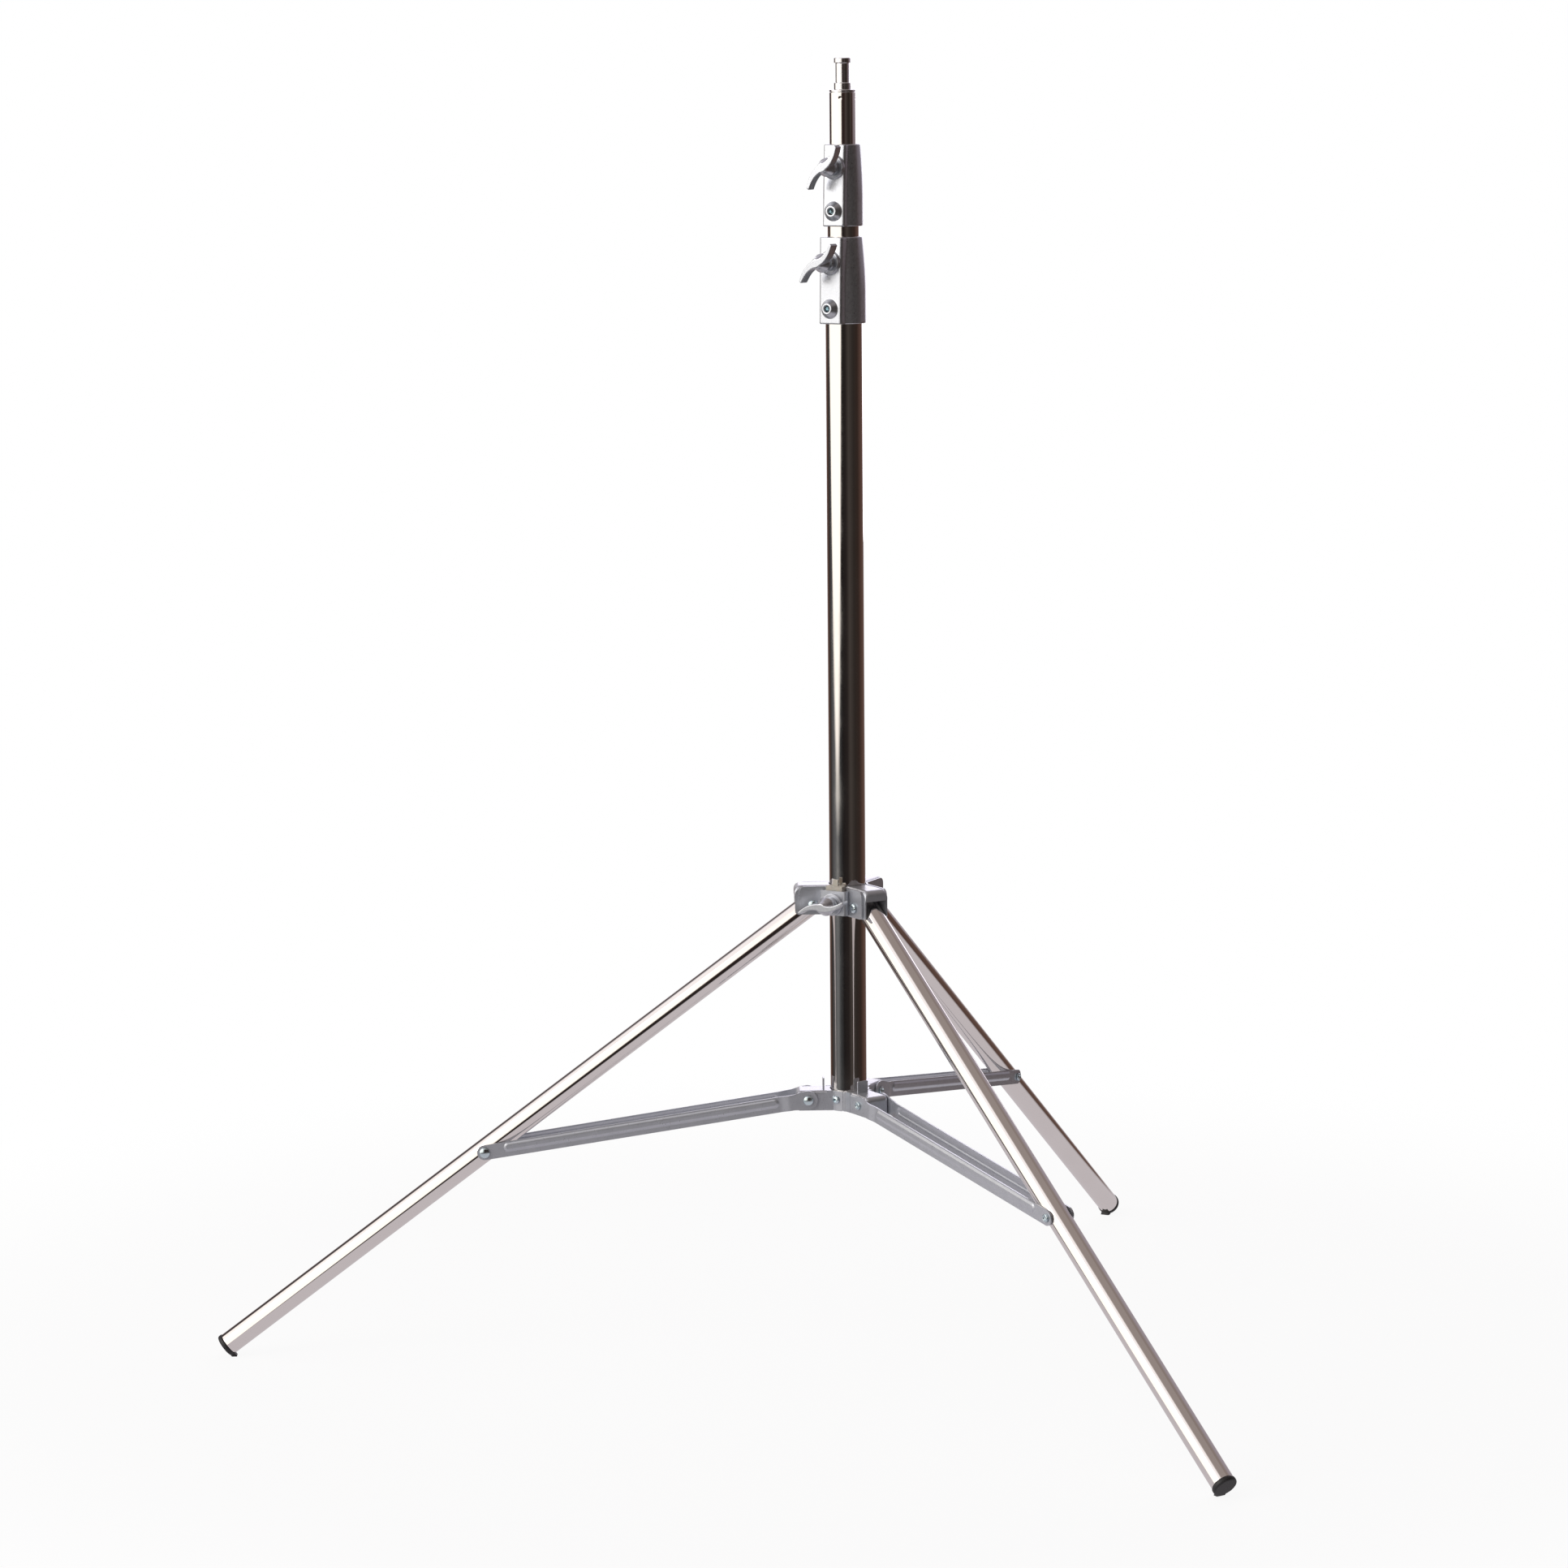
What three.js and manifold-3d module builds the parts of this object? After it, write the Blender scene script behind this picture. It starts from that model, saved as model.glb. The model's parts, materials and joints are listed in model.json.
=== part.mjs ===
// A three-section telescopic lighting stand with a folding tripod base.
// Millimetres, +Z up. While it is being modelled the column axis is x = y = 0 and the floor is z = 0;
// at the end the whole stand is moved so that the middle of its footprint is the origin.
//
// Each leg is modelled in its own frame: +X points away from the column along the leg, +Y is sideways
// and +Z is up. Each clamp is modelled in the same kind of frame, with +X along its screw.

import * as THREE from "three";
import { mergeVertices } from "three/addons/utils/BufferGeometryUtils.js";
import Module from "manifold-3d";

const wasm = await Module();
wasm.setup();

// ---------------------------------------------------------------- driving dimensions

const gap = 0.3; // clearance between neighbouring pieces
const columnSides = 24;
const legSides = 16;
const screwSides = 10;

const tubeWall = 1.0;
const outerTube = { radius: 17.5, bottom: 239.5, top: 1040 };
const middleTube = { radius: 15.0, bottom: 255, top: 1131 };
const topTube = { radius: 12.5, bottom: 255, top: 1219.7 };
const guideHeight = 30;

const spigot = { flange: 2, collarHeight: 6.5, neckHeight: 18.6, rimHeight: 4.8 };
const spigotRadius = 15.9 / 2; // the 5/8 inch lighting spigot
const spigotNeckRadius = 6.5;
const spigotPlugLength = 28;

// The cast clamp collars. Their front face leans out a little towards the bottom.
const outerCollar = {
  azimuth: 264, bottom: 1002, top: 1084, lower: outerTube, upper: middleTube,
  bodyTop: 18.0, bodyBottom: 21.1, faceTop: 22.5, faceBottom: 24.5, faceHalfWidth: 12.7,
  leverZ: 1060.4, screwZ: 1016.6, leverAngle: 46,
};
const middleCollar = {
  azimuth: 270, bottom: 1094, top: 1171, lower: middleTube, upper: topTube,
  bodyTop: 16.6, bodyBottom: 18.8, faceTop: 17.8, faceBottom: 21.0, faceHalfWidth: 11.7,
  leverZ: 1150.0, screwZ: 1108.3, leverAngle: 54,
};
const collarEdge = 2.5; // radius of the front block's upright edges
const collarFullest = 0.65; // how far down its height a collar's round body is at its fullest
const collarLip = 3; // height of the lip that keeps the bush in
const bushHeight = 12;
const bushWall = 0.9;

const clampShoeRadius = 5;
const clampShoeLength = 3.5;
const studRadius = 4;
const bossRadius = 11.2;
const bossHeight = 3;
const setScrewRadius = 2.75;
const setScrewCone = { base: 9.15, tip: 5.35, height: 5.7 };
const setScrewSocket = { radius: 1.7, depth: 2.5, belowRim: 2.5 };
const castRoot = 5; // where bosses and cones begin, inside the casting

// The S-shaped lever, measured from the face it stands on. Its arms narrow towards their tips.
const lever = { tip: 25, twist: 30, rootHalf: 3.6, tipHalf: 1.3, back: 15, front: 26 };
const leverHub = { neck: 7.2, widest: 9.2, nose: 5.4, edge: 0.8 };
const studDepthInLever = 17.5;

// The tripod linkage, in a leg's own frame: x is the distance from the column axis.
const legPivot = { x: 34, z: 442.5 };
const bracePivot = { x: 40, z: 249.5 };
const braceOnLeg = { x: 355, z: 202 };
const legAzimuths = { rear: 90, left: 210, right: 330 };
const legRadius = 11;
const legAbovePivot = 6;
const footCentreZ = 12; // height of the centre of the tube's lower end

// The sliding leg collar, made of pressed steel.
const legCover = {
  halfWidth: 12.5, wall: 1.2, top: 461, bottom: 433, end: 52, topEdge: 4, nose: 6, lip: 10,
};
const legEar = { inner: 12.8, outer: 14.6, top: 460.5, bottom: 433, end: 47.5, topCorner: 6, lowCorner: 4 };
const coverStart = 12; // covers begin inside the column's clearance and are cut back to it
const coverLowCorner = 3;
const columnClearance = outerTube.radius + 0.7;
const clampWrapAngle = 15; // half the angle of the stretch that wraps the column between two ears
const clampBand = 1.8; // thickness of that stretch
const rearEarStart = 13.5;
const frontEarStart = 20.5; // where the two ears beside the lever begin
const legLeverZ = 445;
const bridge = {
  halfWidth: 14.5, back: 29, front: 31.5, bottom: 436, top: 458, flange: 2, reach: 25.3, boss: 10.8,
};
const legShoe = { near: 16, nearHalf: 2, farHalf: 9, step: 20.4, front: 28.5, bottom: 437, top: 462 };
const shoeTab = { near: 23, far: 25.5, halfWidth: 2.9, top: 468 };
const legLeverAngle = 16;

// The fixed brackets at the foot of the column, three alike.
const baseCover = {
  halfWidth: 12.5, wall: 1.4, top: 258.5, bottom: 239, end: 51.6, topEdge: 3, nose: 4, lip: 16,
};
const baseFlange = { inner: 18, outer: 20, start: 36, longEnd: 70.4, shortEnd: 49.2 };
const baseTab = { x: 24, thickness: 1.5, halfWidth: 5.75, height: 11 };
const baseScrew = { angle: 50.6, z: 250, shank: 2.5, head: 3.8, headHeight: 2.8, tip: 10.5 };
const baseScrewSocket = { radius: 1.6, floor: 0.8 };

const pinRadius = 3;
const pinHead = { radius: 4.8, height: 3 };
const rivetHead = { radius: 5.15, height: 2.8 };

// A brace is two pressed bars. Each is set in from its wide inner end to pass close beside the leg's tube.
const braceBase = { inner: 13, outer: 14.6, end: 17.5 }; // the stretch beside the base cover
const braceBody = { inner: 11.4, outer: 13, start: 28 };
const braceHeight = { innerEnd: 9.2, body: 7.6, outerEnd: 7.3, neck: 16 };
const braceRib = { halfWidth: 3.4, height: 1.1, offset: 1.9, fromInner: 33, fromOuter: 23.5 };

const footCap = { plug: 20, lip: 12.3, thickness: 4.5, lugHalfWidth: 5, lugRadius: 15.5 };

// ---------------------------------------------------------------- materials

function finish(color, roughness, metalness) {
  return new THREE.MeshStandardMaterial({ color, roughness, metalness });
}

const polishedSteel = finish(0xd8d2cc, 0.12, 1.0);
const castMetal = finish(0xb9b9bd, 0.45, 0.9);
const pressedSteel = finish(0xa0a0aa, 0.4, 0.8);
const zincSteel = finish(0xc2cbd2, 0.3, 1.0);
const blackPlastic = finish(0x18181a, 0.5, 0.0);
const paleNylon = finish(0xb8b3a8, 0.6, 0.0);

// ---------------------------------------------------------------- solids

// Turns a geometry into a closed mesh with shared vertices whose faces point out.
function closed(geometry) {
  const plain = geometry.clone();
  for (const name of Object.keys(plain.attributes)) {
    if (name !== "position") plain.deleteAttribute(name);
  }
  const merged = mergeVertices(plain, 1e-4);
  const position = merged.getAttribute("position");
  const corners = Array.from(merged.getIndex().array);
  const a = new THREE.Vector3();
  const b = new THREE.Vector3();
  const c = new THREE.Vector3();
  const kept = [];
  let volume = 0;
  for (let i = 0; i < corners.length; i += 3) {
    const [p, q, r] = corners.slice(i, i + 3);
    if (p === q || q === r || r === p) continue;
    kept.push(p, q, r);
    a.fromBufferAttribute(position, p);
    b.fromBufferAttribute(position, q);
    c.fromBufferAttribute(position, r);
    volume += a.dot(b.cross(c));
  }
  if (volume < 0) kept.reverse();
  merged.setIndex(kept);
  return merged;
}

function toManifold(geometry) {
  const mesh = closed(geometry);
  return new wasm.Manifold(new wasm.Mesh({
    numProp: 3,
    vertProperties: new Float32Array(mesh.getAttribute("position").array),
    triVerts: new Uint32Array(mesh.getIndex().array),
  }));
}

function fromManifold(manifold) {
  const mesh = manifold.getMesh();
  const geometry = new THREE.BufferGeometry();
  geometry.setAttribute("position", new THREE.BufferAttribute(mesh.vertProperties, 3));
  geometry.setIndex(new THREE.BufferAttribute(mesh.triVerts, 1));
  return geometry;
}

// Joins the first list of geometries and cuts the second list out of the result.
function build(joined, cut = []) {
  let result = toManifold(joined[0]);
  for (const geometry of joined.slice(1)) result = result.add(toManifold(geometry));
  for (const geometry of cut) result = result.subtract(toManifold(geometry));
  return fromManifold(result);
}

function common(first, second) {
  return fromManifold(toManifold(first).intersect(toManifold(second)));
}

// ---------------------------------------------------------------- shapes

const toZ = new THREE.Matrix4().makeRotationX(Math.PI / 2);
const toX = new THREE.Matrix4().makeRotationZ(-Math.PI / 2);
const toFront = new THREE.Matrix4().makeBasis(
  new THREE.Vector3(0, 1, 0),
  new THREE.Vector3(0, 0, 1),
  new THREE.Vector3(1, 0, 0),
);

// A turned solid about +Y; each profile point is [radius, distance along the axis].
function turned(profile, sides) {
  const points = profile.map(([radius, along]) => new THREE.Vector2(radius, along));
  return new THREE.LatheGeometry(points, sides);
}

function rod(radius, from, to, sides) {
  return turned([[0, from], [radius, from], [radius, to], [0, to]], sides);
}

function ring(inner, outer, from, to, sides) {
  return turned([[inner, from], [outer, from], [outer, to], [inner, to], [inner, from]], sides);
}

function uprightRod(radius, from, to, sides = columnSides) {
  return rod(radius, from, to, sides).applyMatrix4(toZ);
}

function uprightRing(inner, outer, from, to, sides = columnSides) {
  return ring(inner, outer, from, to, sides).applyMatrix4(toZ);
}

function outwardRod(radius, from, to, z, sides = screwSides) {
  return rod(radius, from, to, sides).applyMatrix4(toX).translate(0, 0, z);
}

function outwardTurned(profile, z, sides = screwSides) {
  return turned(profile, sides).applyMatrix4(toX).translate(0, 0, z);
}

function sidewaysRod(radius, from, to, x, z, sides = screwSides) {
  return rod(radius, from, to, sides).translate(x, 0, z);
}

function block(x0, x1, y0, y1, z0, z1) {
  const geometry = new THREE.BoxGeometry(x1 - x0, y1 - y0, z1 - z0);
  return geometry.translate((x0 + x1) / 2, (y0 + y1) / 2, (z0 + z1) / 2);
}

function extruded(shape, depth, curveSegments = 4) {
  return new THREE.ExtrudeGeometry(shape, { depth, bevelEnabled: false, curveSegments });
}

// A plan outline (x, y) raised from z0 to z1.
function raised(shape, z0, z1, curveSegments) {
  return extruded(shape, z1 - z0, curveSegments).translate(0, 0, z0);
}

// A side outline (x, z) given a thickness from y0 to y1.
function sidePlate(shape, y0, y1, curveSegments) {
  return extruded(shape, y1 - y0, curveSegments).applyMatrix4(toZ).translate(0, y1, 0);
}

// A front outline (y, z) given a depth from x0 to x1.
function frontPlate(shape, x0, x1, curveSegments) {
  return extruded(shape, x1 - x0, curveSegments).applyMatrix4(toFront).translate(x0, 0, 0);
}

function polygon(points) {
  return new THREE.Shape(points.map(([x, y]) => new THREE.Vector2(x, y)));
}

function radians(degrees) {
  return THREE.MathUtils.degToRad(degrees);
}

function polar(radius, degrees) {
  return [radius * Math.cos(radians(degrees)), radius * Math.sin(radians(degrees))];
}

// A strip of an upright ring between two angles.
function wrap(inner, outer, fromDegrees, toDegrees, z0, z1) {
  const steps = 5;
  const points = [];
  for (let i = 0; i <= steps; i += 1) {
    points.push(polar(outer, THREE.MathUtils.lerp(fromDegrees, toDegrees, i / steps)));
  }
  for (let i = steps; i >= 0; i -= 1) {
    points.push(polar(inner, THREE.MathUtils.lerp(fromDegrees, toDegrees, i / steps)));
  }
  return raised(polygon(points), z0, z1);
}

// A rounded outline: the corners are [x, y, radius] in order.
function rounded(corners) {
  const shape = new THREE.Shape();
  const count = corners.length;
  for (let i = 0; i < count; i += 1) {
    const [x, y, radius] = corners[i];
    const corner = new THREE.Vector2(x, y);
    const before = new THREE.Vector2(...corners[(i + count - 1) % count]).sub(corner).setLength(radius);
    const after = new THREE.Vector2(...corners[(i + 1) % count]).sub(corner).setLength(radius);
    const start = corner.clone().add(before);
    const end = corner.clone().add(after);
    if (i === 0) shape.moveTo(start.x, start.y);
    else shape.lineTo(start.x, start.y);
    if (radius > 0) shape.quadraticCurveTo(x, y, end.x, end.y);
  }
  shape.closePath();
  return shape;
}

function addMesh(group, name, geometry, material) {
  const mesh = new THREE.Mesh(closed(geometry), material);
  mesh.name = name;
  group.add(mesh);
}

// ---------------------------------------------------------------- column tubes and their guides

function tube({ radius, bottom, top }) {
  return uprightRing(radius - tubeWall, radius, bottom, top);
}

// A nylon ring on a riser's lower end, which runs in the tube around it.
function lowerGuide(inside, around) {
  const bore = inside.radius + gap;
  const outside = around.radius - tubeWall - gap;
  return uprightRing(bore, outside, inside.bottom, inside.bottom + guideHeight);
}

function baseScrewHole(azimuth) {
  const hole = outwardRod(baseScrew.shank + gap, 0, baseFlange.outer + 2, baseScrew.z);
  return hole.rotateZ(radians(azimuth + baseScrew.angle));
}

function outerTubeBody() {
  return build([tube(outerTube)], Object.values(legAzimuths).map(baseScrewHole));
}

function spigotBody() {
  const shoulder = topTube.top + gap;
  const collar = shoulder + spigot.flange;
  const neck = collar + spigot.collarHeight;
  const rim = neck + spigot.neckHeight;
  const plug = topTube.radius - tubeWall - gap;
  const profile = [
    [0, shoulder - spigotPlugLength], [plug, shoulder - spigotPlugLength], [plug, shoulder],
    [topTube.radius, shoulder], [topTube.radius, collar], [spigotRadius, collar],
    [spigotRadius, neck], [spigotNeckRadius, neck], [spigotNeckRadius, rim],
    [spigotRadius, rim], [spigotRadius, rim + spigot.rimHeight], [0, rim + spigot.rimHeight],
  ];
  return turned(profile, columnSides).applyMatrix4(toZ);
}

// ---------------------------------------------------------------- cast clamp collars

function faceAt(collar, z) {
  const down = (collar.top - z) / (collar.top - collar.bottom);
  return THREE.MathUtils.lerp(collar.faceTop, collar.faceBottom, down);
}

// The round body bulges down to about two thirds of its height.
function collarBody(collar) {
  const height = collar.top - collar.bottom;
  const profile = [[0, collar.bottom], [collar.bodyBottom - 1, collar.bottom]];
  const steps = 5;
  profile.push([collar.bodyBottom, collar.bottom + 1]);
  for (let i = steps; i >= 0; i -= 1) {
    const down = collarFullest * i / steps;
    const swell = Math.sin(i / steps * Math.PI / 2);
    const radius = THREE.MathUtils.lerp(collar.bodyTop, collar.bodyBottom, swell);
    profile.push([radius, collar.top - down * height]);
  }
  profile.push([0, collar.top]);
  return turned(profile, columnSides).applyMatrix4(toZ);
}

function collarFrontBlock(collar) {
  const w = collar.faceHalfWidth;
  const plan = rounded([
    [0, -w, 0], [collar.faceTop, -w, collarEdge], [collar.faceTop, w, collarEdge], [0, w, 0],
  ]);
  const geometry = raised(plan, collar.bottom, collar.top, 4);
  const position = geometry.getAttribute("position");
  for (let i = 0; i < position.count; i += 1) {
    const lean = faceAt(collar, position.getZ(i)) - collar.faceTop;
    if (position.getX(i) > 0) position.setX(i, position.getX(i) + lean);
  }
  return geometry;
}

function collarCasting(collar) {
  const leverFace = faceAt(collar, collar.leverZ);
  const screwFace = faceAt(collar, collar.screwZ);
  const shoePocket = collar.upper.radius + gap + clampShoeLength + gap;
  const seat = collar.lower.top + 1;
  const bushTop = collar.top - collarLip;
  const cone = outwardTurned([
    [0, castRoot], [setScrewCone.base, castRoot], [setScrewCone.base, screwFace],
    [setScrewCone.tip, screwFace + setScrewCone.height], [0, screwFace + setScrewCone.height],
  ], collar.screwZ, legSides);
  return build(
    [
      collarBody(collar),
      collarFrontBlock(collar),
      outwardRod(bossRadius, castRoot, leverFace + bossHeight, collar.leverZ, legSides),
      cone,
    ],
    [
      uprightRod(collar.lower.radius + gap, collar.bottom - 1, seat),
      uprightRod(collar.upper.radius + 2 * gap, seat - 1, collar.top + 1),
      uprightRod(collar.upper.radius + 2 * gap + bushWall, bushTop - bushHeight - gap, bushTop),
      outwardRod(clampShoeRadius + gap, 0, shoePocket, collar.leverZ),
      outwardRod(studRadius + gap, 0, leverFace + bossHeight + 1, collar.leverZ),
      outwardRod(setScrewRadius + gap, 0, screwFace + setScrewCone.height + 1, collar.screwZ),
    ],
  );
}

function collarBush(collar) {
  const bore = collar.upper.radius + gap;
  const bottom = collar.top - collarLip - bushHeight;
  return uprightRing(bore, bore + bushWall, bottom, bottom + bushHeight - gap);
}

// The nylon puck that the lever's screw presses against the riser.
function clampShoe(collar) {
  const start = collar.upper.radius + gap;
  return build(
    [outwardRod(clampShoeRadius, start - 2, start + clampShoeLength, collar.leverZ)],
    [uprightRod(start, collar.leverZ - 20, collar.leverZ + 20)],
  );
}

function setScrew(collar) {
  const start = collar.lower.radius + gap;
  const { radius, depth, belowRim } = setScrewSocket;
  const end = faceAt(collar, collar.screwZ) + setScrewCone.height - belowRim;
  return build(
    [outwardRod(setScrewRadius, start + 1, end, collar.screwZ)],
    [outwardRod(radius, end - depth, end + 1, collar.screwZ, 6)],
  );
}

// ---------------------------------------------------------------- levers

// The outline of the S-shaped bar seen from the front, as (y, z) about its own screw.
function leverOutline(angle) {
  const steps = 5;
  const centre = (t) => polar(lever.tip * t, angle - lever.twist * (1 - t));
  const side = [];
  const otherSide = [];
  for (let i = 0; i <= steps; i += 1) {
    const t = i / steps;
    const [y, z] = centre(t);
    const [aheadY, aheadZ] = centre(t + 0.01);
    const along = Math.hypot(aheadY - y, aheadZ - z);
    const half = THREE.MathUtils.lerp(lever.rootHalf, lever.tipHalf, t);
    const sideY = -(aheadZ - z) / along * half;
    const sideZ = (aheadY - y) / along * half;
    side.push([y + sideY, z + sideZ]);
    otherSide.push([y - sideY, z - sideZ]);
  }
  const arm = [...side.slice(1), ...otherSide.slice(1).reverse()];
  const oppositeArm = arm.map(([y, z]) => [-y, -z]);
  return polygon([...arm, ...oppositeArm]);
}

// face is the distance of the boss's base from the column axis.
function leverCasting(face, z, angle) {
  const start = face + bossHeight + gap;
  const back = face + lever.back;
  const front = face + lever.front;
  const { neck, widest, nose, edge } = leverHub;
  const hub = outwardTurned([
    [0, start], [neck, start], [widest, back], [nose, front - edge], [nose - edge, front], [0, front],
  ], z, legSides);
  const bar = frontPlate(leverOutline(angle), back, front).translate(0, 0, z);
  return build([hub, bar], [outwardRod(studRadius + gap, start - 1, face + studDepthInLever + gap, z)]);
}

function leverStud(from, face, z) {
  return outwardRod(studRadius, from, face + studDepthInLever, z);
}

// ---------------------------------------------------------------- pressed covers and brackets

// An inverted channel with rounded upper edges and an end that curls down as far as the lip.
function coverShell(cover, pivot) {
  const { halfWidth: w, wall, top, bottom, end, topEdge, nose, lip } = cover;
  const side = rounded([
    [coverStart, bottom, 0], [end, bottom, coverLowCorner], [end, top, nose], [coverStart, top, 0],
  ]);
  const section = rounded([[-w, bottom, 0], [w, bottom, 0], [w, top, topEdge], [-w, top, topEdge]]);
  const outside = common(sidePlate(side, -w, w), frontPlate(section, coverStart, end));
  return build([outside], [
    block(coverStart - 1, end - wall, -w + wall, w - wall, bottom - 1, top - wall),
    block(end - wall - 1, end + 1, -w + wall, w - wall, bottom - 1, top - lip),
    uprightRod(columnClearance, bottom - 1, top + 1),
    sidewaysRod(pinRadius + gap, -w - 1, w + 1, pivot.x, pivot.z),
  ]);
}

function baseBracket() {
  const { inner, outer, start, longEnd, shortEnd } = baseFlange;
  const { top, bottom } = baseCover;
  const tab = block(
    baseTab.x, baseTab.x + baseTab.thickness,
    -baseTab.halfWidth, baseTab.halfWidth,
    top - baseCover.wall / 2, top + baseTab.height,
  );
  const screwHole = baseScrewHole(0);
  return build(
    [
      coverShell(baseCover, bracePivot),
      wrap(inner, outer, start, longEnd, bottom, top),
      wrap(inner, outer, -shortEnd, -start, bottom, top),
      tab,
    ],
    [screwHole],
  );
}

function baseScrewBody() {
  const { shank, head, headHeight, tip, z } = baseScrew;
  const seat = baseFlange.outer + gap;
  const profile = [
    [0, tip], [shank, tip], [shank, seat], [head, seat],
    [head, seat + headHeight * 0.5], [head * 0.75, seat + headHeight], [0, seat + headHeight],
  ];
  return build(
    [outwardTurned(profile, z)],
    [outwardRod(baseScrewSocket.radius, seat + baseScrewSocket.floor, seat + headHeight + 1, z, 6)],
  ).rotateZ(radians(baseScrew.angle));
}

// One ear of the leg collar: a flat plate beside a cover, from the given distance outwards.
function earPlate(start, sign) {
  const { inner, outer, top, bottom, end, topCorner, lowCorner } = legEar;
  const outline = rounded([
    [start, bottom, 0], [end, bottom, lowCorner], [end, top, topCorner], [start, top, 0],
  ]);
  const [y0, y1] = sign > 0 ? [inner, outer] : [-outer, -inner];
  return sidePlate(outline, y0, y1);
}

function earHole(sign) {
  const near = sign * (legEar.inner - 1);
  const far = sign * (legEar.outer + 1);
  return sidewaysRod(pinRadius + gap, Math.min(near, far), Math.max(near, far), legPivot.x, legPivot.z);
}

// The clamp plate between two legs: an ear for each of them, joined round the column.
function clampPlate(azimuth) {
  const ears = [
    earPlate(rearEarStart, -1).rotateZ(radians(azimuth + 60)),
    earPlate(rearEarStart, 1).rotateZ(radians(azimuth - 60)),
  ];
  const holes = [
    earHole(-1).rotateZ(radians(azimuth + 60)),
    earHole(1).rotateZ(radians(azimuth - 60)),
  ];
  const reach = clampWrapAngle;
  const { bottom, top } = legEar;
  const outside = columnClearance + clampBand;
  const band = wrap(columnClearance, outside, azimuth - reach, azimuth + reach, bottom, top);
  return build([band, ...ears], [uprightRod(columnClearance, bottom - 1, top + 1), ...holes]);
}

// A half plate beside the lever: one ear, hooked behind the bridge.
function halfPlate(azimuth, sign) {
  return build([earPlate(frontEarStart, sign)], [earHole(sign)]).rotateZ(radians(azimuth));
}

// The bridge that spans the two half plates and holds the lever's thread.
function clampBridge() {
  const { halfWidth: w, back, front, bottom, top, flange, reach, boss } = bridge;
  return build(
    [
      block(back, front, -w, w, bottom, top),
      block(reach, front, -w, -w + flange, bottom + 2, top - 2),
      block(reach, front, w - flange, w, bottom + 2, top - 2),
      outwardRod(boss, front - 0.5, front + bossHeight, legLeverZ, legSides),
    ],
    [outwardRod(studRadius + gap, back - 1, front + bossHeight + 1, legLeverZ)],
  );
}

function legClampShoe() {
  const { near, nearHalf, farHalf, step, front, bottom, top } = legShoe;
  const { near: tabNear, far: tabFar, halfWidth: tabHalf, top: tabTop } = shoeTab;
  const plan = polygon([
    [near, -nearHalf], [step, -farHalf], [front, -farHalf],
    [front, farHalf], [step, farHalf], [near, nearHalf],
  ]);
  return build(
    [raised(plan, bottom, top), block(tabNear, tabFar, -tabHalf, tabHalf, top - 0.5, tabTop)],
    [uprightRod(columnClearance, bottom - 1, tabTop + 1)],
  );
}

// A pin through a bracket with a domed head at each end; half is half its length under the heads.
function throughPin(half, pivot, head) {
  const end = half + head.height;
  const shoulder = half + head.height * 0.45;
  const profile = [
    [0, -end], [head.radius * 0.6, -end], [head.radius, -shoulder], [head.radius, -half], [pinRadius, -half],
    [pinRadius, half], [head.radius, half], [head.radius, shoulder], [head.radius * 0.6, end], [0, end],
  ];
  return turned(profile, screwSides).translate(pivot.x, 0, pivot.z);
}

// ---------------------------------------------------------------- legs, feet and braces

const legTilt = Math.atan2(braceOnLeg.x - legPivot.x, legPivot.z - braceOnLeg.z);
const legLength = (legPivot.z - footCentreZ) / Math.cos(legTilt);

// Moves something modelled along +Z from the leg's pivot downwards to where the leg is.
// Local z = 0 is the pivot and the foot is at z = -legLength.
function alongLeg(geometry) {
  return geometry.rotateY(-legTilt).translate(legPivot.x, 0, legPivot.z);
}

function legTube() {
  const body = uprightRing(legRadius - tubeWall, legRadius, -legLength, legAbovePivot, legSides);
  const hole = sidewaysRod(pinRadius + gap, -legRadius - 2, legRadius + 2, 0, 0);
  return alongLeg(build([body], [hole]));
}

// The plug in the foot, with a lug under it that is cut flat where it meets the floor.
function footCapBody() {
  const end = -legLength - gap;
  const bore = legRadius - tubeWall - gap;
  const { plug, lip, thickness, lugHalfWidth, lugRadius } = footCap;
  const profile = [
    [0, end - thickness], [lip - 2, end - thickness], [lip, end - thickness + 1.5], [lip, end],
    [bore, end], [bore, end + plug], [0, end + plug],
  ];
  const body = turned(profile, legSides).applyMatrix4(toZ);
  const lug = block(-lugRadius, -lip + 3, -lugHalfWidth, lugHalfWidth, end - thickness, end);
  const floor = block(0, 2000, -100, 100, -50, 0);
  return build([alongLeg(build([body, lug]))], [floor]);
}

const braceRun = Math.hypot(braceOnLeg.x - bracePivot.x, braceOnLeg.z - bracePivot.z);
const braceSlope = Math.atan2(braceOnLeg.z - bracePivot.z, braceOnLeg.x - bracePivot.x);

// Moves a side plate drawn along +X from the brace's inner pivot to where the brace is.
function alongBrace(geometry) {
  return geometry.rotateY(-braceSlope).translate(bracePivot.x, 0, bracePivot.z);
}

// A bar from the side: a round end at each pivot and nearly straight edges between them.
function braceOutline() {
  const { innerEnd, body, outerEnd, neck } = braceHeight;
  const shape = new THREE.Shape();
  shape.absarc(0, 0, innerEnd, radians(60), radians(300), false);
  shape.lineTo(neck, -body);
  shape.lineTo(braceRun, -outerEnd);
  shape.absarc(braceRun, 0, outerEnd, radians(-90), radians(90), false);
  shape.lineTo(neck, body);
  shape.closePath();
  return shape;
}

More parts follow.
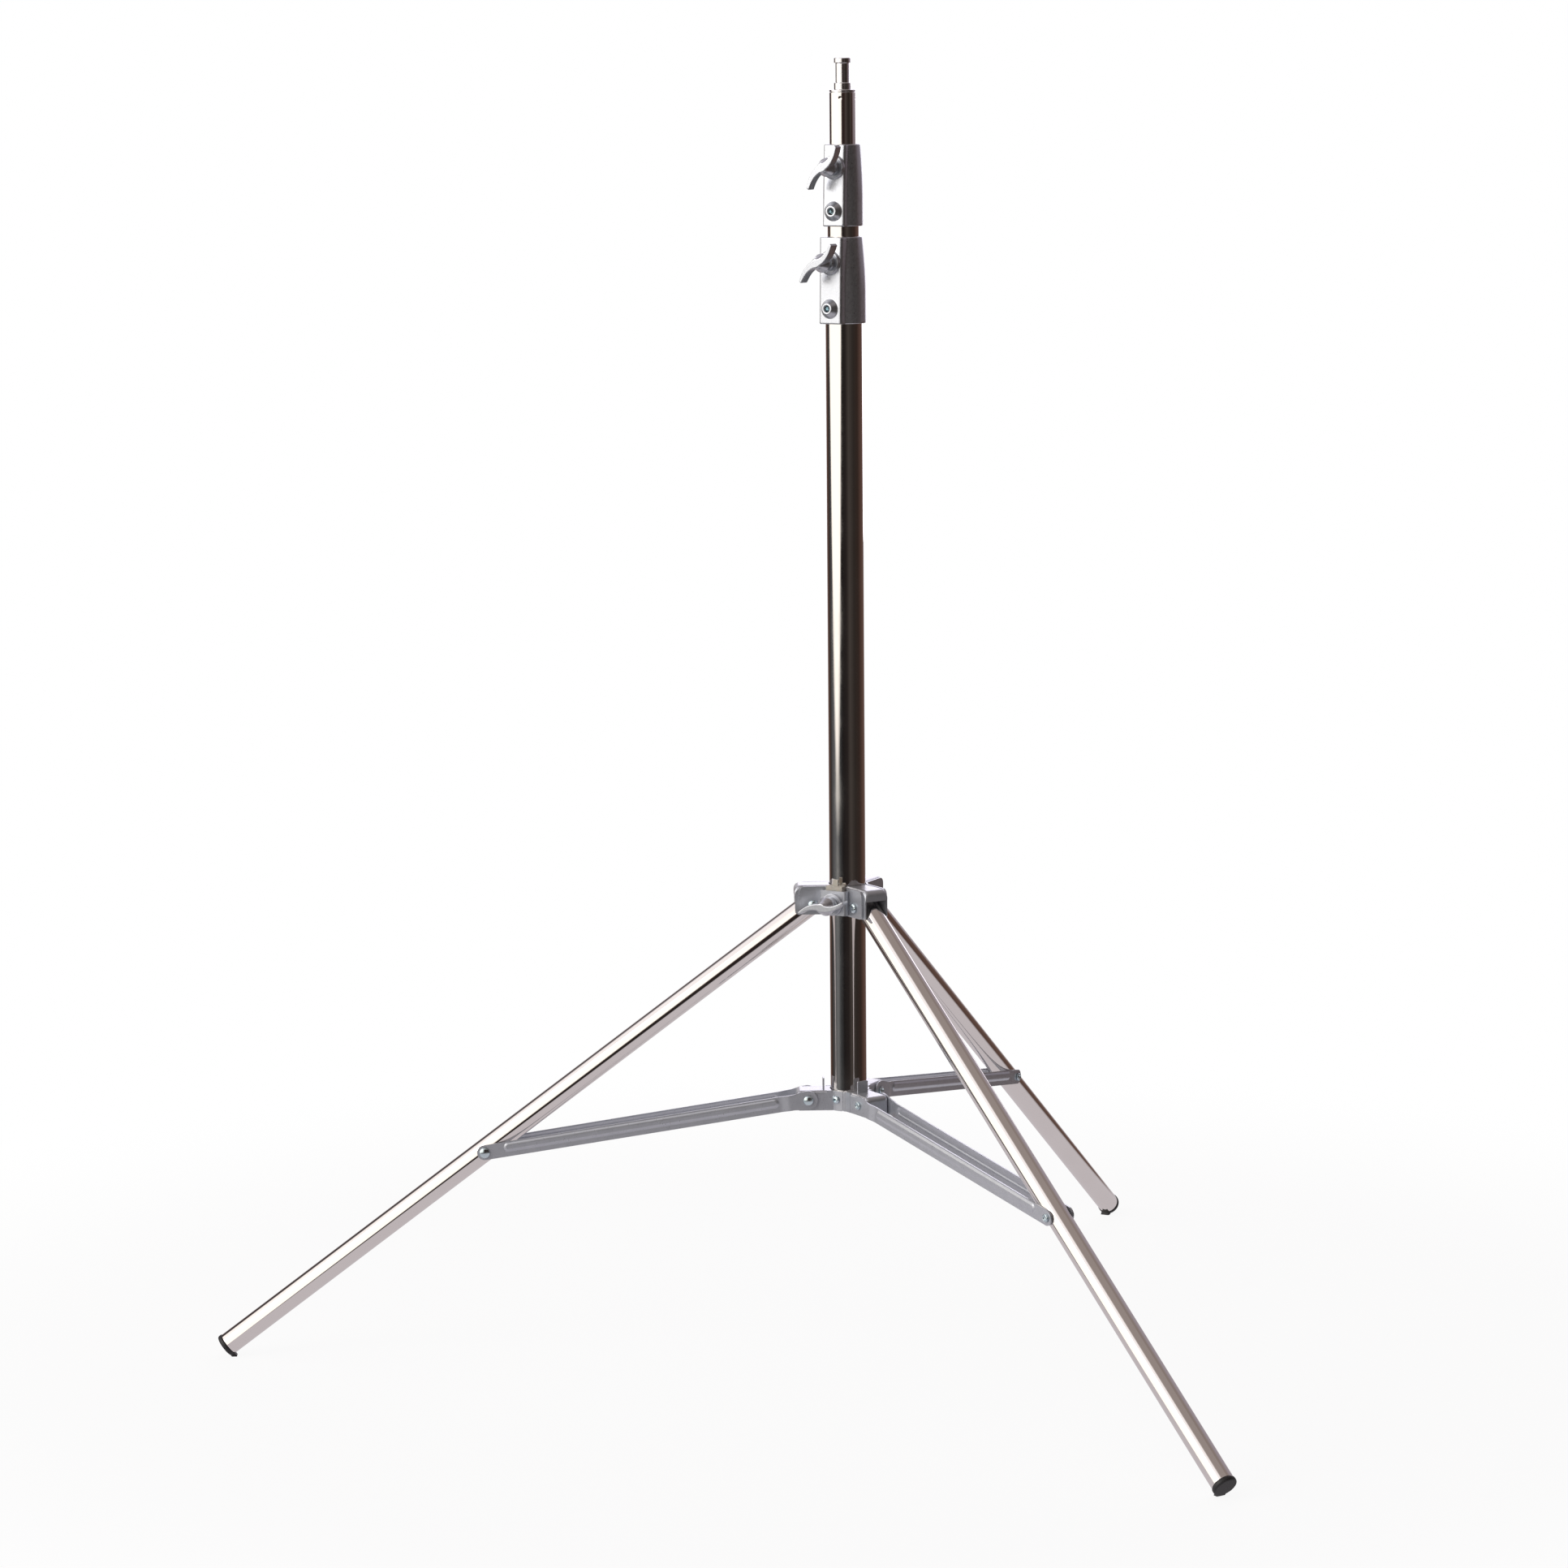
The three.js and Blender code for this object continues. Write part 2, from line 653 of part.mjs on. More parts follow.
// A bar from above: it steps in between its base stretch and its body.
function bracePlan() {
  const start = -braceHeight.innerEnd - 1;
  const end = braceRun + braceHeight.outerEnd + 1;
  return polygon([
    [start, braceBase.inner], [braceBase.end, braceBase.inner],
    [braceBody.start, braceBody.inner], [end, braceBody.inner],
    [end, braceBody.outer], [braceBody.start, braceBody.outer],
    [braceBase.end, braceBase.outer], [start, braceBase.outer],
  ]);
}

function ribOutline() {
  const { halfWidth: w, offset, fromInner, fromOuter } = braceRib;
  const end = braceRun - fromOuter;
  const shape = new THREE.Shape();
  shape.absarc(fromInner, offset, w, radians(90), radians(270), false);
  shape.absarc(end, offset, w, radians(-90), radians(90), false);
  shape.closePath();
  return shape;
}

function braceBar(sign) {
  const { inner, outer } = braceBody;
  const { innerEnd } = braceHeight;
  const side = sidePlate(braceOutline(), inner - 1, braceBase.outer + 1);
  const plate = common(side, raised(bracePlan(), -innerEnd - 1, innerEnd + 1));
  const rib = sidePlate(ribOutline(), outer - 0.5, outer + braceRib.height, 4);
  const holes = [0, braceRun].map((x) => sidewaysRod(pinRadius + gap, inner - 1, braceBase.outer + 1, x, 0));
  const bar = alongBrace(build([plate, rib], holes));
  return sign > 0 ? bar : closed(bar.scale(1, -1, 1));
}

// One end of the rivet that joins a brace to its leg. It stops short of the leg's tube.
function braceRivet(sign) {
  const { inner, outer } = braceBody;
  const seat = outer + gap;
  const { radius, height } = rivetHead;
  const profile = [
    [0, inner], [pinRadius, inner], [pinRadius, seat], [radius, seat],
    [radius, seat + height * 0.3], [radius * 0.6, seat + height], [0, seat + height],
  ];
  const rivet = turned(profile, screwSides).translate(braceOnLeg.x, 0, braceOnLeg.z);
  return sign > 0 ? rivet : closed(rivet.scale(1, -1, 1));
}

// ---------------------------------------------------------------- assembly

function turnedGroup(parent, azimuth) {
  const group = new THREE.Group();
  group.rotation.z = radians(azimuth);
  parent.add(group);
  return group;
}

function addColumn(stand) {
  addMesh(stand, "outer_tube", outerTubeBody(), polishedSteel);
  addMesh(stand, "middle_tube", tube(middleTube), polishedSteel);
  addMesh(stand, "middle_guide", lowerGuide(middleTube, outerTube), paleNylon);
  addMesh(stand, "top_tube", tube(topTube), polishedSteel);
  addMesh(stand, "top_guide", lowerGuide(topTube, middleTube), paleNylon);
  addMesh(stand, "spigot", spigotBody(), zincSteel);
}

function addCollar(stand, name, collar) {
  const group = turnedGroup(stand, collar.azimuth);
  const face = faceAt(collar, collar.leverZ);
  const studStart = collar.upper.radius + gap + clampShoeLength + gap;
  addMesh(group, `${name}_collar`, collarCasting(collar), castMetal);
  addMesh(group, `${name}_bush`, collarBush(collar), paleNylon);
  addMesh(group, `${name}_clamp_shoe`, clampShoe(collar), paleNylon);
  addMesh(group, `${name}_set_screw`, setScrew(collar), zincSteel);
  addMesh(group, `${name}_lever`, leverCasting(face, collar.leverZ, collar.leverAngle), castMetal);
  addMesh(group, `${name}_lever_stud`, leverStud(studStart, face, collar.leverZ), zincSteel);
}

function addLegCollar(stand) {
  addMesh(stand, "clamp_plate_rear_left", clampPlate(150), pressedSteel);
  addMesh(stand, "clamp_plate_rear_right", clampPlate(30), pressedSteel);
  addMesh(stand, "clamp_plate_front_left", halfPlate(legAzimuths.left, 1), pressedSteel);
  addMesh(stand, "clamp_plate_front_right", halfPlate(legAzimuths.right, -1), pressedSteel);
  const front = turnedGroup(stand, 270);
  const face = bridge.front;
  addMesh(front, "leg_clamp_bridge", clampBridge(), pressedSteel);
  addMesh(front, "leg_clamp_shoe", legClampShoe(), paleNylon);
  addMesh(front, "leg_lever", leverCasting(face, legLeverZ, legLeverAngle), castMetal);
  addMesh(front, "leg_lever_stud", leverStud(legShoe.front + gap, face, legLeverZ), zincSteel);
}

function addLeg(stand, name, azimuth) {
  const group = turnedGroup(stand, azimuth);
  addMesh(group, `leg_cover_${name}`, coverShell(legCover, legPivot), pressedSteel);
  addMesh(group, `leg_pivot_${name}`, throughPin(legEar.outer + gap, legPivot, pinHead), zincSteel);
  addMesh(group, `leg_tube_${name}`, legTube(), polishedSteel);
  addMesh(group, `foot_cap_${name}`, footCapBody(), blackPlastic);
  addMesh(group, `base_bracket_${name}`, baseBracket(), pressedSteel);
  addMesh(group, `base_screw_${name}`, baseScrewBody(), zincSteel);
  addMesh(group, `brace_pivot_${name}`, throughPin(braceBase.outer + gap, bracePivot, pinHead), zincSteel);
  for (const [side, sign] of [["a", 1], ["b", -1]]) {
    addMesh(group, `brace_bar_${name}_${side}`, braceBar(sign), pressedSteel);
    addMesh(group, `brace_rivet_${name}_${side}`, braceRivet(sign), zincSteel);
  }
}

const stand = new THREE.Group();
addColumn(stand);
addCollar(stand, "outer", outerCollar);
addCollar(stand, "middle", middleCollar);
addLegCollar(stand);
for (const [name, azimuth] of Object.entries(legAzimuths)) addLeg(stand, name, azimuth);

// The origin is on the floor, in the middle of the stand's footprint.
stand.updateMatrixWorld(true);
const footprint = new THREE.Box3().setFromObject(stand, true);
const middle = footprint.getCenter(new THREE.Vector3());
stand.position.set(-middle.x, -middle.y, -footprint.min.z);

export default stand;
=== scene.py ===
"""The look of a three-section telescopic lighting stand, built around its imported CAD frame.

Shapes are modelled in millimetres in a local frame and turned into metres when they are placed.
Column and leg frames have +X away from the column axis, +Y sideways and +Z up, with the floor at z = 0.
Positions and sizes of whole pieces are measured on the CAD nodes; the details are the named values below.
"""

import json
import math

import bmesh
import bpy
from mathutils import Matrix, Vector


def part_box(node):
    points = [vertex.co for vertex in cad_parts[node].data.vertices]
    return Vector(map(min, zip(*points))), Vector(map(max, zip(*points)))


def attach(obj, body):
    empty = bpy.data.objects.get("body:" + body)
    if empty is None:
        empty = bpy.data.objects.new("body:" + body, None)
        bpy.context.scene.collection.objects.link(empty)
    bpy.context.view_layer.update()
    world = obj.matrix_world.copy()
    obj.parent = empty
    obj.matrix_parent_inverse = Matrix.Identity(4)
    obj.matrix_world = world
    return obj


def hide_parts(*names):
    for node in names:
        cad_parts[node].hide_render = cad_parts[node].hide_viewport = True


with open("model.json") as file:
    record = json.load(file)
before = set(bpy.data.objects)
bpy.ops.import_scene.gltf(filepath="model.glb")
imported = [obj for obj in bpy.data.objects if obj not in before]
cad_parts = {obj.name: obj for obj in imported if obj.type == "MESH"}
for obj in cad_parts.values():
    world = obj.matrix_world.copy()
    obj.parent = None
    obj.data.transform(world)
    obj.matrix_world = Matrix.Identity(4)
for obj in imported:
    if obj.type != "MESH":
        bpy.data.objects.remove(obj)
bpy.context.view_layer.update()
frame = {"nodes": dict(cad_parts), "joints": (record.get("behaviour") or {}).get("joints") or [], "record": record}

MM = 0.001  # metres in a millimetre
SIDES = ("rear", "left", "right")

# ---- driving dimensions, millimetres

COLUMN_SEGMENTS = 144
LEG_SEGMENTS = 96
SMALL_SEGMENTS = 64
TUBE_WALL = 1.0
TUBE_EDGE = 0.35  # rounding of a cut tube's rims

DIMPLE_DEPTH = 0.4  # the crimps that hold the spigot in the top tube
DIMPLE_RADIUS = 1.0
DIMPLE_BELOW_TOP = 5.5
DIMPLE_AZIMUTHS = (15, 105, 195, 285)

SPIGOT_FLANGE = 2.0
SPIGOT_COLLAR = 6.5
SPIGOT_NECK = 18.6
SPIGOT_NECK_RADIUS = 6.5
SPIGOT_PLUG = 28.0

COLLAR_EDGE = 2.6  # rounding of the front block's upright edges
COLLAR_RIM = 1.1  # rounding of the casting's top and bottom rims
COLLAR_FULLEST = 0.65  # how far down the round body is at its fullest
BOSS_RADIUS = 11.2
BOSS_HEIGHT = 3.0
CONE_BASE = 9.15
CONE_TIP = 5.35
CONE_HEIGHT = 5.7
CAST_ROOT = 5.0  # how deep a boss starts inside the casting
BORE_EDGE = 0.4  # rounding of a collar's bore at its two ends
BUSH_LIP = 3.0  # the casting above a collar's bush
BUSH_HEIGHT = 12.0
BUSH_WALL = 0.9
LEVER_HOLE = 4.3
SCREW_HOLE = 3.05
SCREW_HOLE_MOUTH = 4.0
SET_SCREW_SOCKET = 2.6  # from its middle to a corner of the hexagon
SET_SCREW_SOCKET_DEPTH = 5.0
CLEARANCE = 0.3

LEVER_BACK = 15.0
LEVER_FRONT = 26.0
LEVER_TIP = 25.0
LEVER_TWIST = 30.0  # degrees that an arm curls between the hub and its tip
LEVER_ROOT_HALF = 3.7
LEVER_TIP_HALF = 1.25
LEVER_HUB = 9.2
LEVER_NECK = 6.6
LEVER_NOSE = 4.6
CAST_VOXEL = 0.32
COLLAR_VOXEL = 0.4

COVER_STEPS = 10
COVER_LOW_CORNER = 3.0
LEG_COVER = {"wall": 1.2, "edge": 4.0, "nose": 6.0, "side_round": 0.0, "lip": 10.0, "start": 18.5}
BASE_COVER = {"wall": 1.4, "edge": 3.2, "nose": 5.0, "side_round": 2.4, "lip": 16.0, "start": 18.5}
BASE_HALF = 12.5
CLAMP_SHEET = 1.8
EAR_MIDDLE = 13.7
EAR_END = 47.5
BAND_BEND = 3.0
BRIDGE_EDGE = 2.0
SHOE_BODY_BELOW_TOP = 6.0
SHOE_TAB = {"near": 23.0, "far": 25.5, "half": 2.9}
BASE_SCREW = {"shank": 2.5, "head": 3.8, "height": 2.8, "socket": 1.9}
PRESSED_EDGE = 0.35  # rounding of a pressed sheet's cut edge
EAR_TOP_CORNER = 6.0
EAR_LOW_CORNER = 4.0
COLUMN_CLEARANCE = 18.2
FLANGE_RADIUS = 19.0
FLANGE_SHEET = 1.8
FLANGE_LONG = 70.4  # degrees from the leg's direction to the end of a bracket's long flange
FLANGE_SHORT = 49.2
SHANK_RADIUS = 3.0
PIN_RADIUS = 4.8
PIN_HEAD = 3.0
RIVET_RADIUS = 5.15
SWAGED_RADIUS = 3.9
PUNCH_RADIUS = 2.0
STOP_TAB = {"x": 24.75, "half": 5.75, "height": 11.0, "thickness": 1.5}

BAR_SHEET = 1.6
BAR_BASE_INNER = 13.0  # inner face beside the base cover
BAR_BODY_INNER = 11.4  # inner face beside the leg's tube
BAR_STEP = (17.5, 28.0)  # where it steps in from one to the other
BAR_EDGE = 0.45
BAR_BODY_HALF = 7.6
BAR_INNER_END = 9.2
BAR_OUTER_END = 7.3
RIB_HALF = 3.2
RIB_HEIGHT = 1.1
RIB_OFFSET = 1.9
RIB_FROM_INNER = 33.0
RIB_FROM_OUTER = 23.5
RIB_FLANK = 2.4

FOOT_LIP = 11.7
FOOT_THICKNESS = 4.5
FOOT_LUG_HALF = 4.5
FOOT_LUG_RADIUS = 14.5
FOOT_VOXEL = 0.45

# ---- the camera and the light, metres and degrees

CAMERA_LENS = 115.37
CAMERA_SENSOR = 36.0
CAMERA_DISTANCE = 4.7944
CAMERA_AZIMUTH = 297.465
CAMERA_HEIGHT = 1.2995
CAMERA_HEADING = 118.19
CAMERA_PITCH = 8.788
CAMERA_ROLL = 0.474
LAMP_AIM_HEIGHT = 0.55

FLOOR_RADIUS = 4.0
FLOOR_PALE_RADIUS = 1.35
FLOOR_SHADED_SHARE = 0.09  # how much of the floor's white the stand's shadow can darken
FLOOR_MIRRORED = (0.60, 0.56, 0.59, 1)
FLOOR_MIRRORED_FADE = (0.75, 1.2)  # where mirrors stop seeing the floor
FLOOR_BOUNCE = (0.38, 0.38, 0.38, 1)  # how bright the floor is to the light it throws back up

# ---- reading the frame

NODE_BODY = {}
for body_name, members in frame["record"]["behaviour"]["bodies"].items():
    for member in members:
        NODE_BODY[member] = body_name
NODE_SLOT = {row["node"]: row["material_slot"] for row in frame["record"]["subparts"]}
JOINTS = {joint["name"]: joint for joint in frame["joints"]}

tube_low, tube_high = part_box("outer_tube")
COLUMN = Vector(((tube_low.x + tube_high.x) / 2, (tube_low.y + tube_high.y) / 2, 0))


def azimuth_of(direction):
    return math.degrees(math.atan2(direction[1], direction[0]))


def local_frame(azimuth):
    """The frame on the column axis whose +X points in that direction, in metres."""
    return Matrix.Translation(COLUMN) @ Matrix.Rotation(math.radians(azimuth), 4, "Z")


def local_box(node, place):
    """The lowest and highest corner of a CAD node in a local frame, in millimetres."""
    to_local = place.inverted()
    points = [to_local @ vertex.co / MM for vertex in frame["nodes"][node].data.vertices]
    low = Vector([min(point[i] for point in points) for i in range(3)])
    high = Vector([max(point[i] for point in points) for i in range(3)])
    return low, high


def joint_place(name):
    return Vector(JOINTS[name]["pos_m"])


LEG_AZIMUTH = {side: azimuth_of(joint_place(f"leg_{side}_fold") - COLUMN) for side in SIDES}
LEG_FRAME = {side: local_frame(LEG_AZIMUTH[side]) for side in SIDES}


def pivot_of(joint_name, place):
    """A hinge's place in a local frame as (x, z), in millimetres."""
    point = place.inverted() @ joint_place(joint_name) / MM
    return point.x, point.z


# ---- outlines


def fillet(corners, closed=True, steps=6):
    """The outline through the corners (a, b, radius), each rounded by a tangent arc."""
    outline = []
    count = len(corners)
    for i, (a, b, radius) in enumerate(corners):
        corner = Vector((a, b))
        if radius <= 0 or (not closed and i in (0, count - 1)):
            outline.append(corner)
            continue
        before = (Vector(corners[i - 1][:2]) - corner).normalized()
        after = (Vector(corners[(i + 1) % count][:2]) - corner).normalized()
        half = before.angle(after) / 2
        centre = corner + (before + after).normalized() * (radius / math.sin(half))
        first = corner + before * (radius / math.tan(half)) - centre
        turn = first.angle_signed(corner + after * (radius / math.tan(half)) - centre)
        for step in range(steps + 1):
            arm = first.copy()
            arm.rotate(Matrix.Rotation(-turn * step / steps, 2))
            outline.append(centre + arm)
    return outline


def polar(radius, degrees):
    return Vector((radius * math.cos(math.radians(degrees)), radius * math.sin(math.radians(degrees))))


def blend(a, b, t):
    return a + (b - a) * t


def smooth(t):
    t = min(max(t, 0.0), 1.0)
    return t * t * (3 - 2 * t)


# ---- meshes

TO_X = Matrix.Rotation(math.radians(90), 4, "Y")
TO_Y = Matrix.Rotation(math.radians(-90), 4, "X")


def mesh_of(points, faces, turn=None):
    """A mesh in millimetres whose touching points are merged and whose faces point out."""
    mesh = bpy.data.meshes.new("part")
    mesh.from_pydata([Vector(point) for point in points], [], faces)
    solid = bmesh.new()
    solid.from_mesh(mesh)
    if turn is not None:
        bmesh.ops.transform(solid, matrix=turn, verts=solid.verts)
    bmesh.ops.remove_doubles(solid, verts=solid.verts, dist=0.0005)
    bmesh.ops.dissolve_degenerate(solid, edges=solid.edges, dist=0.0001)
    bmesh.ops.recalc_face_normals(solid, faces=solid.faces)
    solid.to_mesh(mesh)
    solid.free()
    return mesh


def ring_faces(rings, closed_rings, around):
    """The quads between neighbouring rings of equal length."""
    size = len(rings[0])
    faces = []
    last_ring = len(rings) if around else len(rings) - 1
    last_point = size if closed_rings else size - 1
    for i in range(last_ring):
        following = (i + 1) % len(rings)
        for j in range(last_point):
            beside = (j + 1) % size
            faces.append((i * size + j, i * size + beside, following * size + beside, following * size + j))
    return faces


def rings_mesh(rings, closed_rings=True, around=True, turn=None):
    points = [point for ring in rings for point in ring]
    return mesh_of(points, ring_faces(rings, closed_rings, around), turn)


def lathe(profile, segments=SMALL_SEGMENTS, turn=None):
    """A solid turned about Z from an outline of (radius, height) on the axis at both ends, or closed."""
    on_axis = profile[0][0] < 1e-6 and profile[-1][0] < 1e-6
    rings = []
    for step in range(segments):
        angle = 2 * math.pi * step / segments
        rings.append([(r * math.cos(angle), r * math.sin(angle), z) for r, z in profile])
    return rings_mesh(rings, closed_rings=not on_axis, turn=turn)


def outward(z):
    """Turns a shape made along +Z to point away from the column at that height."""
    return Matrix.Translation((0, 0, z)) @ TO_X


def turned(corners, segments=SMALL_SEGMENTS, turn=None, steps=6):
    """A solid turned from the corners (radius, height, rounding), which start and end on the axis."""
    return lathe(fillet(corners, closed=False, steps=steps), segments, turn)


def rod(radius, start, end, edge=0.3, segments=SMALL_SEGMENTS, turn=None):
    corners = [(0, start, 0), (radius, start, edge), (radius, end, edge), (0, end, 0)]
    return turned(corners, segments, turn, steps=4)


def tube(inner, outer, start, end, edge=TUBE_EDGE, segments=COLUMN_SEGMENTS, turn=None):
    corners = [(inner, start, edge), (outer, start, edge), (outer, end, edge), (inner, end, edge)]
    return lathe(fillet(corners, steps=4), segments, turn)


def prism(outline, start, end, turn=None):
    """A straight solid from an outline in X and Y, between two heights."""
    count = len(outline)
    points = [(a, b, start) for a, b in outline] + [(a, b, end) for a, b in outline]
    faces = [tuple(range(count)), tuple(range(count, 2 * count))]
    for i in range(count):
        faces.append((i, (i + 1) % count, count + (i + 1) % count, count + i))
    return mesh_of(points, faces, turn)


def block(low, high):
    (x0, y0, z0), (x1, y1, z1) = low, high
    return prism([(x0, y0), (x1, y0), (x1, y1), (x0, y1)], z0, z1)


def moved(mesh, matrix):
    mesh.transform(matrix)
    if matrix.determinant() < 0:
        mesh.flip_normals()
    return mesh


def shaped(mesh, modifiers):
    """The mesh with modifiers applied, each given as (type, settings)."""
    worker = bpy.data.objects.new("worker", mesh)
    bpy.context.scene.collection.objects.link(worker)
    for kind, settings in modifiers:
        modifier = worker.modifiers.new(kind.lower(), kind)
        for key, value in settings.items():
            setattr(modifier, key, value)
    graph = bpy.context.evaluated_depsgraph_get()
    result = bpy.data.meshes.new_from_object(worker.evaluated_get(graph))
    bpy.data.objects.remove(worker)
    return result


def carve(base, joined=(), cut=()):
    """Adds the first meshes to the base and cuts the second ones out of it."""
    steps = [("UNION", mesh) for mesh in joined] + [("DIFFERENCE", mesh) for mesh in cut]
    for operation, mesh in steps:
        tool = bpy.data.objects.new("tool", mesh)
        bpy.context.scene.collection.objects.link(tool)
        base = shaped(base, [("BOOLEAN", {"operation": operation, "solver": "EXACT", "object": tool})])
        bpy.data.objects.remove(tool)
    solid = bmesh.new()
    solid.from_mesh(base)
    bmesh.ops.remove_doubles(solid, verts=solid.verts, dist=0.004)
    bmesh.ops.dissolve_degenerate(solid, edges=solid.edges, dist=0.002)
    solid.to_mesh(base)
    solid.free()
    return base


def bevelled(mesh, width=PRESSED_EDGE, angle=40, segments=3):
    return shaped(mesh, [("BEVEL", {
        "width": width,
        "segments": segments,
        "limit_method": "ANGLE",
        "angle_limit": math.radians(angle),
        "use_clamp_overlap": True,
    })])


def sheet(mesh, thickness, edge=PRESSED_EDGE):
    """Gives a middle surface its thickness, with rounded cut edges."""
    thick = shaped(mesh, [("SOLIDIFY", {
        "thickness": thickness,
        "offset": 0.0,
        "use_even_offset": True,
        "use_quality_normals": True,
    })])
    return bevelled(thick, edge)


def cast(mesh, voxel=CAST_VOXEL, softening=8):
    """Fuses a rough solid into one skin and rounds its edges as a die casting's are."""
    return shaped(mesh, [
        ("REMESH", {"mode": "VOXEL", "voxel_size": voxel}),
        ("SMOOTH", {"factor": 0.5, "iterations": softening}),
    ])


def joined(meshes):
    whole = bmesh.new()
    for mesh in meshes:
        whole.from_mesh(mesh)
    result = bpy.data.meshes.new("part")
    whole.to_mesh(result)
    whole.free()
    return result


# ---- placing


def dress(node, mesh, place, crease=32):
    """Puts a mesh in local millimetres in its place as the visible form of a CAD node."""
    mesh.transform(Matrix.Scale(MM, 4))
    mesh.shade_smooth()
    mesh.set_sharp_from_angle(angle=math.radians(crease))
    mesh.materials.clear()
    mesh.materials.append(MATERIALS[NODE_SLOT[node]])
    piece = bpy.data.objects.new(f"{node}_fine", mesh)
    mesh.name = piece.name
    bpy.context.scene.collection.objects.link(piece)
    piece.matrix_world = place
    weighted = piece.modifiers.new("weighted", "WEIGHTED_NORMAL")
    weighted.keep_sharp = True
    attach(piece, NODE_BODY[node])
    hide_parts(node)
    return piece


# ---- materials


class Tree:
    """A node tree with shorthand for adding nodes and wiring them."""

    def __init__(self, holder):
        holder.use_nodes = True
        self.nodes = holder.node_tree.nodes
        self.links = holder.node_tree.links

    def add(self, kind, inputs=(), **settings):
        """A new node. Each input is a value, or another node's output to link it to."""
        node = self.nodes.new(f"ShaderNode{kind}")
        for name, value in settings.items():
            setattr(node, name, value)
        for socket, value in dict(inputs).items():
            if isinstance(value, bpy.types.NodeSocket):
                self.links.new(value, node.inputs[socket])
            else:
                node.inputs[socket].default_value = value
        return node

    def smooth_range(self, value, start, end, low=0.0, high=1.0):
        """Goes smoothly from low to high as the value goes from start to end."""
        limits = {"From Min": start, "From Max": end, "To Min": low, "To Max": high}
        smooth = self.add("MapRange", {"Value": value, **limits}, interpolation_type="SMOOTHSTEP")
        return smooth.outputs["Result"]

    def mix(self, factor, low, high):
        """A colour between two others, each a colour or an output."""
        return self.add("Mix", {"Factor": factor, "A": low, "B": high}, data_type="RGBA").outputs["Result"]


class Shading(Tree):
    """A material's node tree with the shorthand that the finishes below need."""

    def __init__(self, name):
        self.material = bpy.data.materials.new(name)
        super().__init__(self.material)
        self.shader = self.nodes["Principled BSDF"]
        self.place = self.add("TexCoord").outputs["Object"]

    def set(self, **values):
        for name, value in values.items():
            self.shader.inputs[name.replace("_", " ")].default_value = value

    def noise(self, size, detail=3.0, stretch=(1, 1, 1), roughness=0.5):
        """Noise whose features are about that many millimetres across."""
        mapped = self.add("Mapping", {"Scale": stretch, "Vector": self.place}).outputs["Vector"]
        inputs = {"Scale": 1 / (size * MM), "Detail": detail, "Roughness": roughness, "Vector": mapped}
        return self.add("TexNoise", inputs).outputs["Fac"]

    def spread(self, value, start, end, low, high):
        limits = {"From Min": start, "From Max": end, "To Min": low, "To Max": high}
        return self.add("MapRange", {"Value": value, **limits}).outputs["Result"]

    def tint(self, factor, low, high):
        return self.mix(factor, (*low, 1), (*high, 1))

    def bump(self, height, depth, below=None):
        """A bump of that many millimetres, on top of an earlier one."""
        inputs = {"Strength": 1.0, "Distance": depth * MM, "Height": height}
        if below is not None:
            inputs["Normal"] = below
        return self.add("Bump", inputs).outputs["Normal"]

    def wire(self, name, value):
        self.links.new(value, self.shader.inputs[name])


def polished_steel():
    """Mirror-polished stainless tube: faint waves along it, fine polishing lines and handling haze."""
    s = Shading("polished_steel")
    s.set(Metallic=1.0)
    haze = s.noise(45, detail=4)
    s.wire("Base Color", s.tint(haze, (0.80, 0.765, 0.735), (0.86, 0.83, 0.80)))
    lines = s.noise(0.5, detail=2, stretch=(1, 1, 0.02))
    roughness = s.spread(haze, 0.35, 0.7, 0.045, 0.10)
    s.wire("Roughness", roughness)
    waves = s.bump(s.noise(14, detail=1, stretch=(1, 1, 0.06)), 0.05)
    s.wire("Normal", s.bump(lines, 0.0006, waves))
    return s.material


def cast_alloy():
    """A satin die casting: slight orange peel and mottling."""
    s = Shading("cast_alloy")
    s.set(Metallic=0.9, Coat_Weight=0.1, Coat_Roughness=0.2)
    mottle = s.noise(2.2, detail=5)
    s.wire("Base Color", s.tint(s.spread(mottle, 0.35, 0.7, 0, 1), (0.56, 0.58, 0.62), (0.63, 0.65, 0.69)))
    s.wire("Roughness", s.spread(mottle, 0.3, 0.7, 0.27, 0.36))
    peel = s.bump(s.noise(1.6, detail=2), 0.018)
    s.wire("Normal", s.bump(s.noise(0.4, detail=2), 0.003, peel))
    return s.material


def pressed_steel():
    """Semi-gloss silver-grey paint on pressed steel, slightly uneven."""
    s = Shading("pressed_steel")
    s.set(Metallic=0.6, Coat_Weight=0.3, Coat_Roughness=0.15)
    cloud = s.noise(9, detail=4)
    s.wire("Base Color", s.tint(cloud, (0.49, 0.51, 0.56), (0.59, 0.61, 0.66)))
    s.wire("Roughness", s.spread(s.noise(1.2, detail=3), 0.3, 0.7, 0.27, 0.38))
    s.wire("Normal", s.bump(s.noise(3.5, detail=1), 0.015))
    return s.material


def zinc_plated_steel():
    """Bright blue-tinted zinc plate with turning marks."""
    s = Shading("zinc_plated_steel")
    s.set(Metallic=1.0)
    cloud = s.noise(3, detail=3)
    s.wire("Base Color", s.tint(cloud, (0.50, 0.66, 0.72), (0.76, 0.81, 0.82)))
    s.wire("Roughness", s.spread(cloud, 0.3, 0.7, 0.14, 0.26))
    s.wire("Normal", s.bump(s.noise(0.3, detail=2), 0.002))
    return s.material


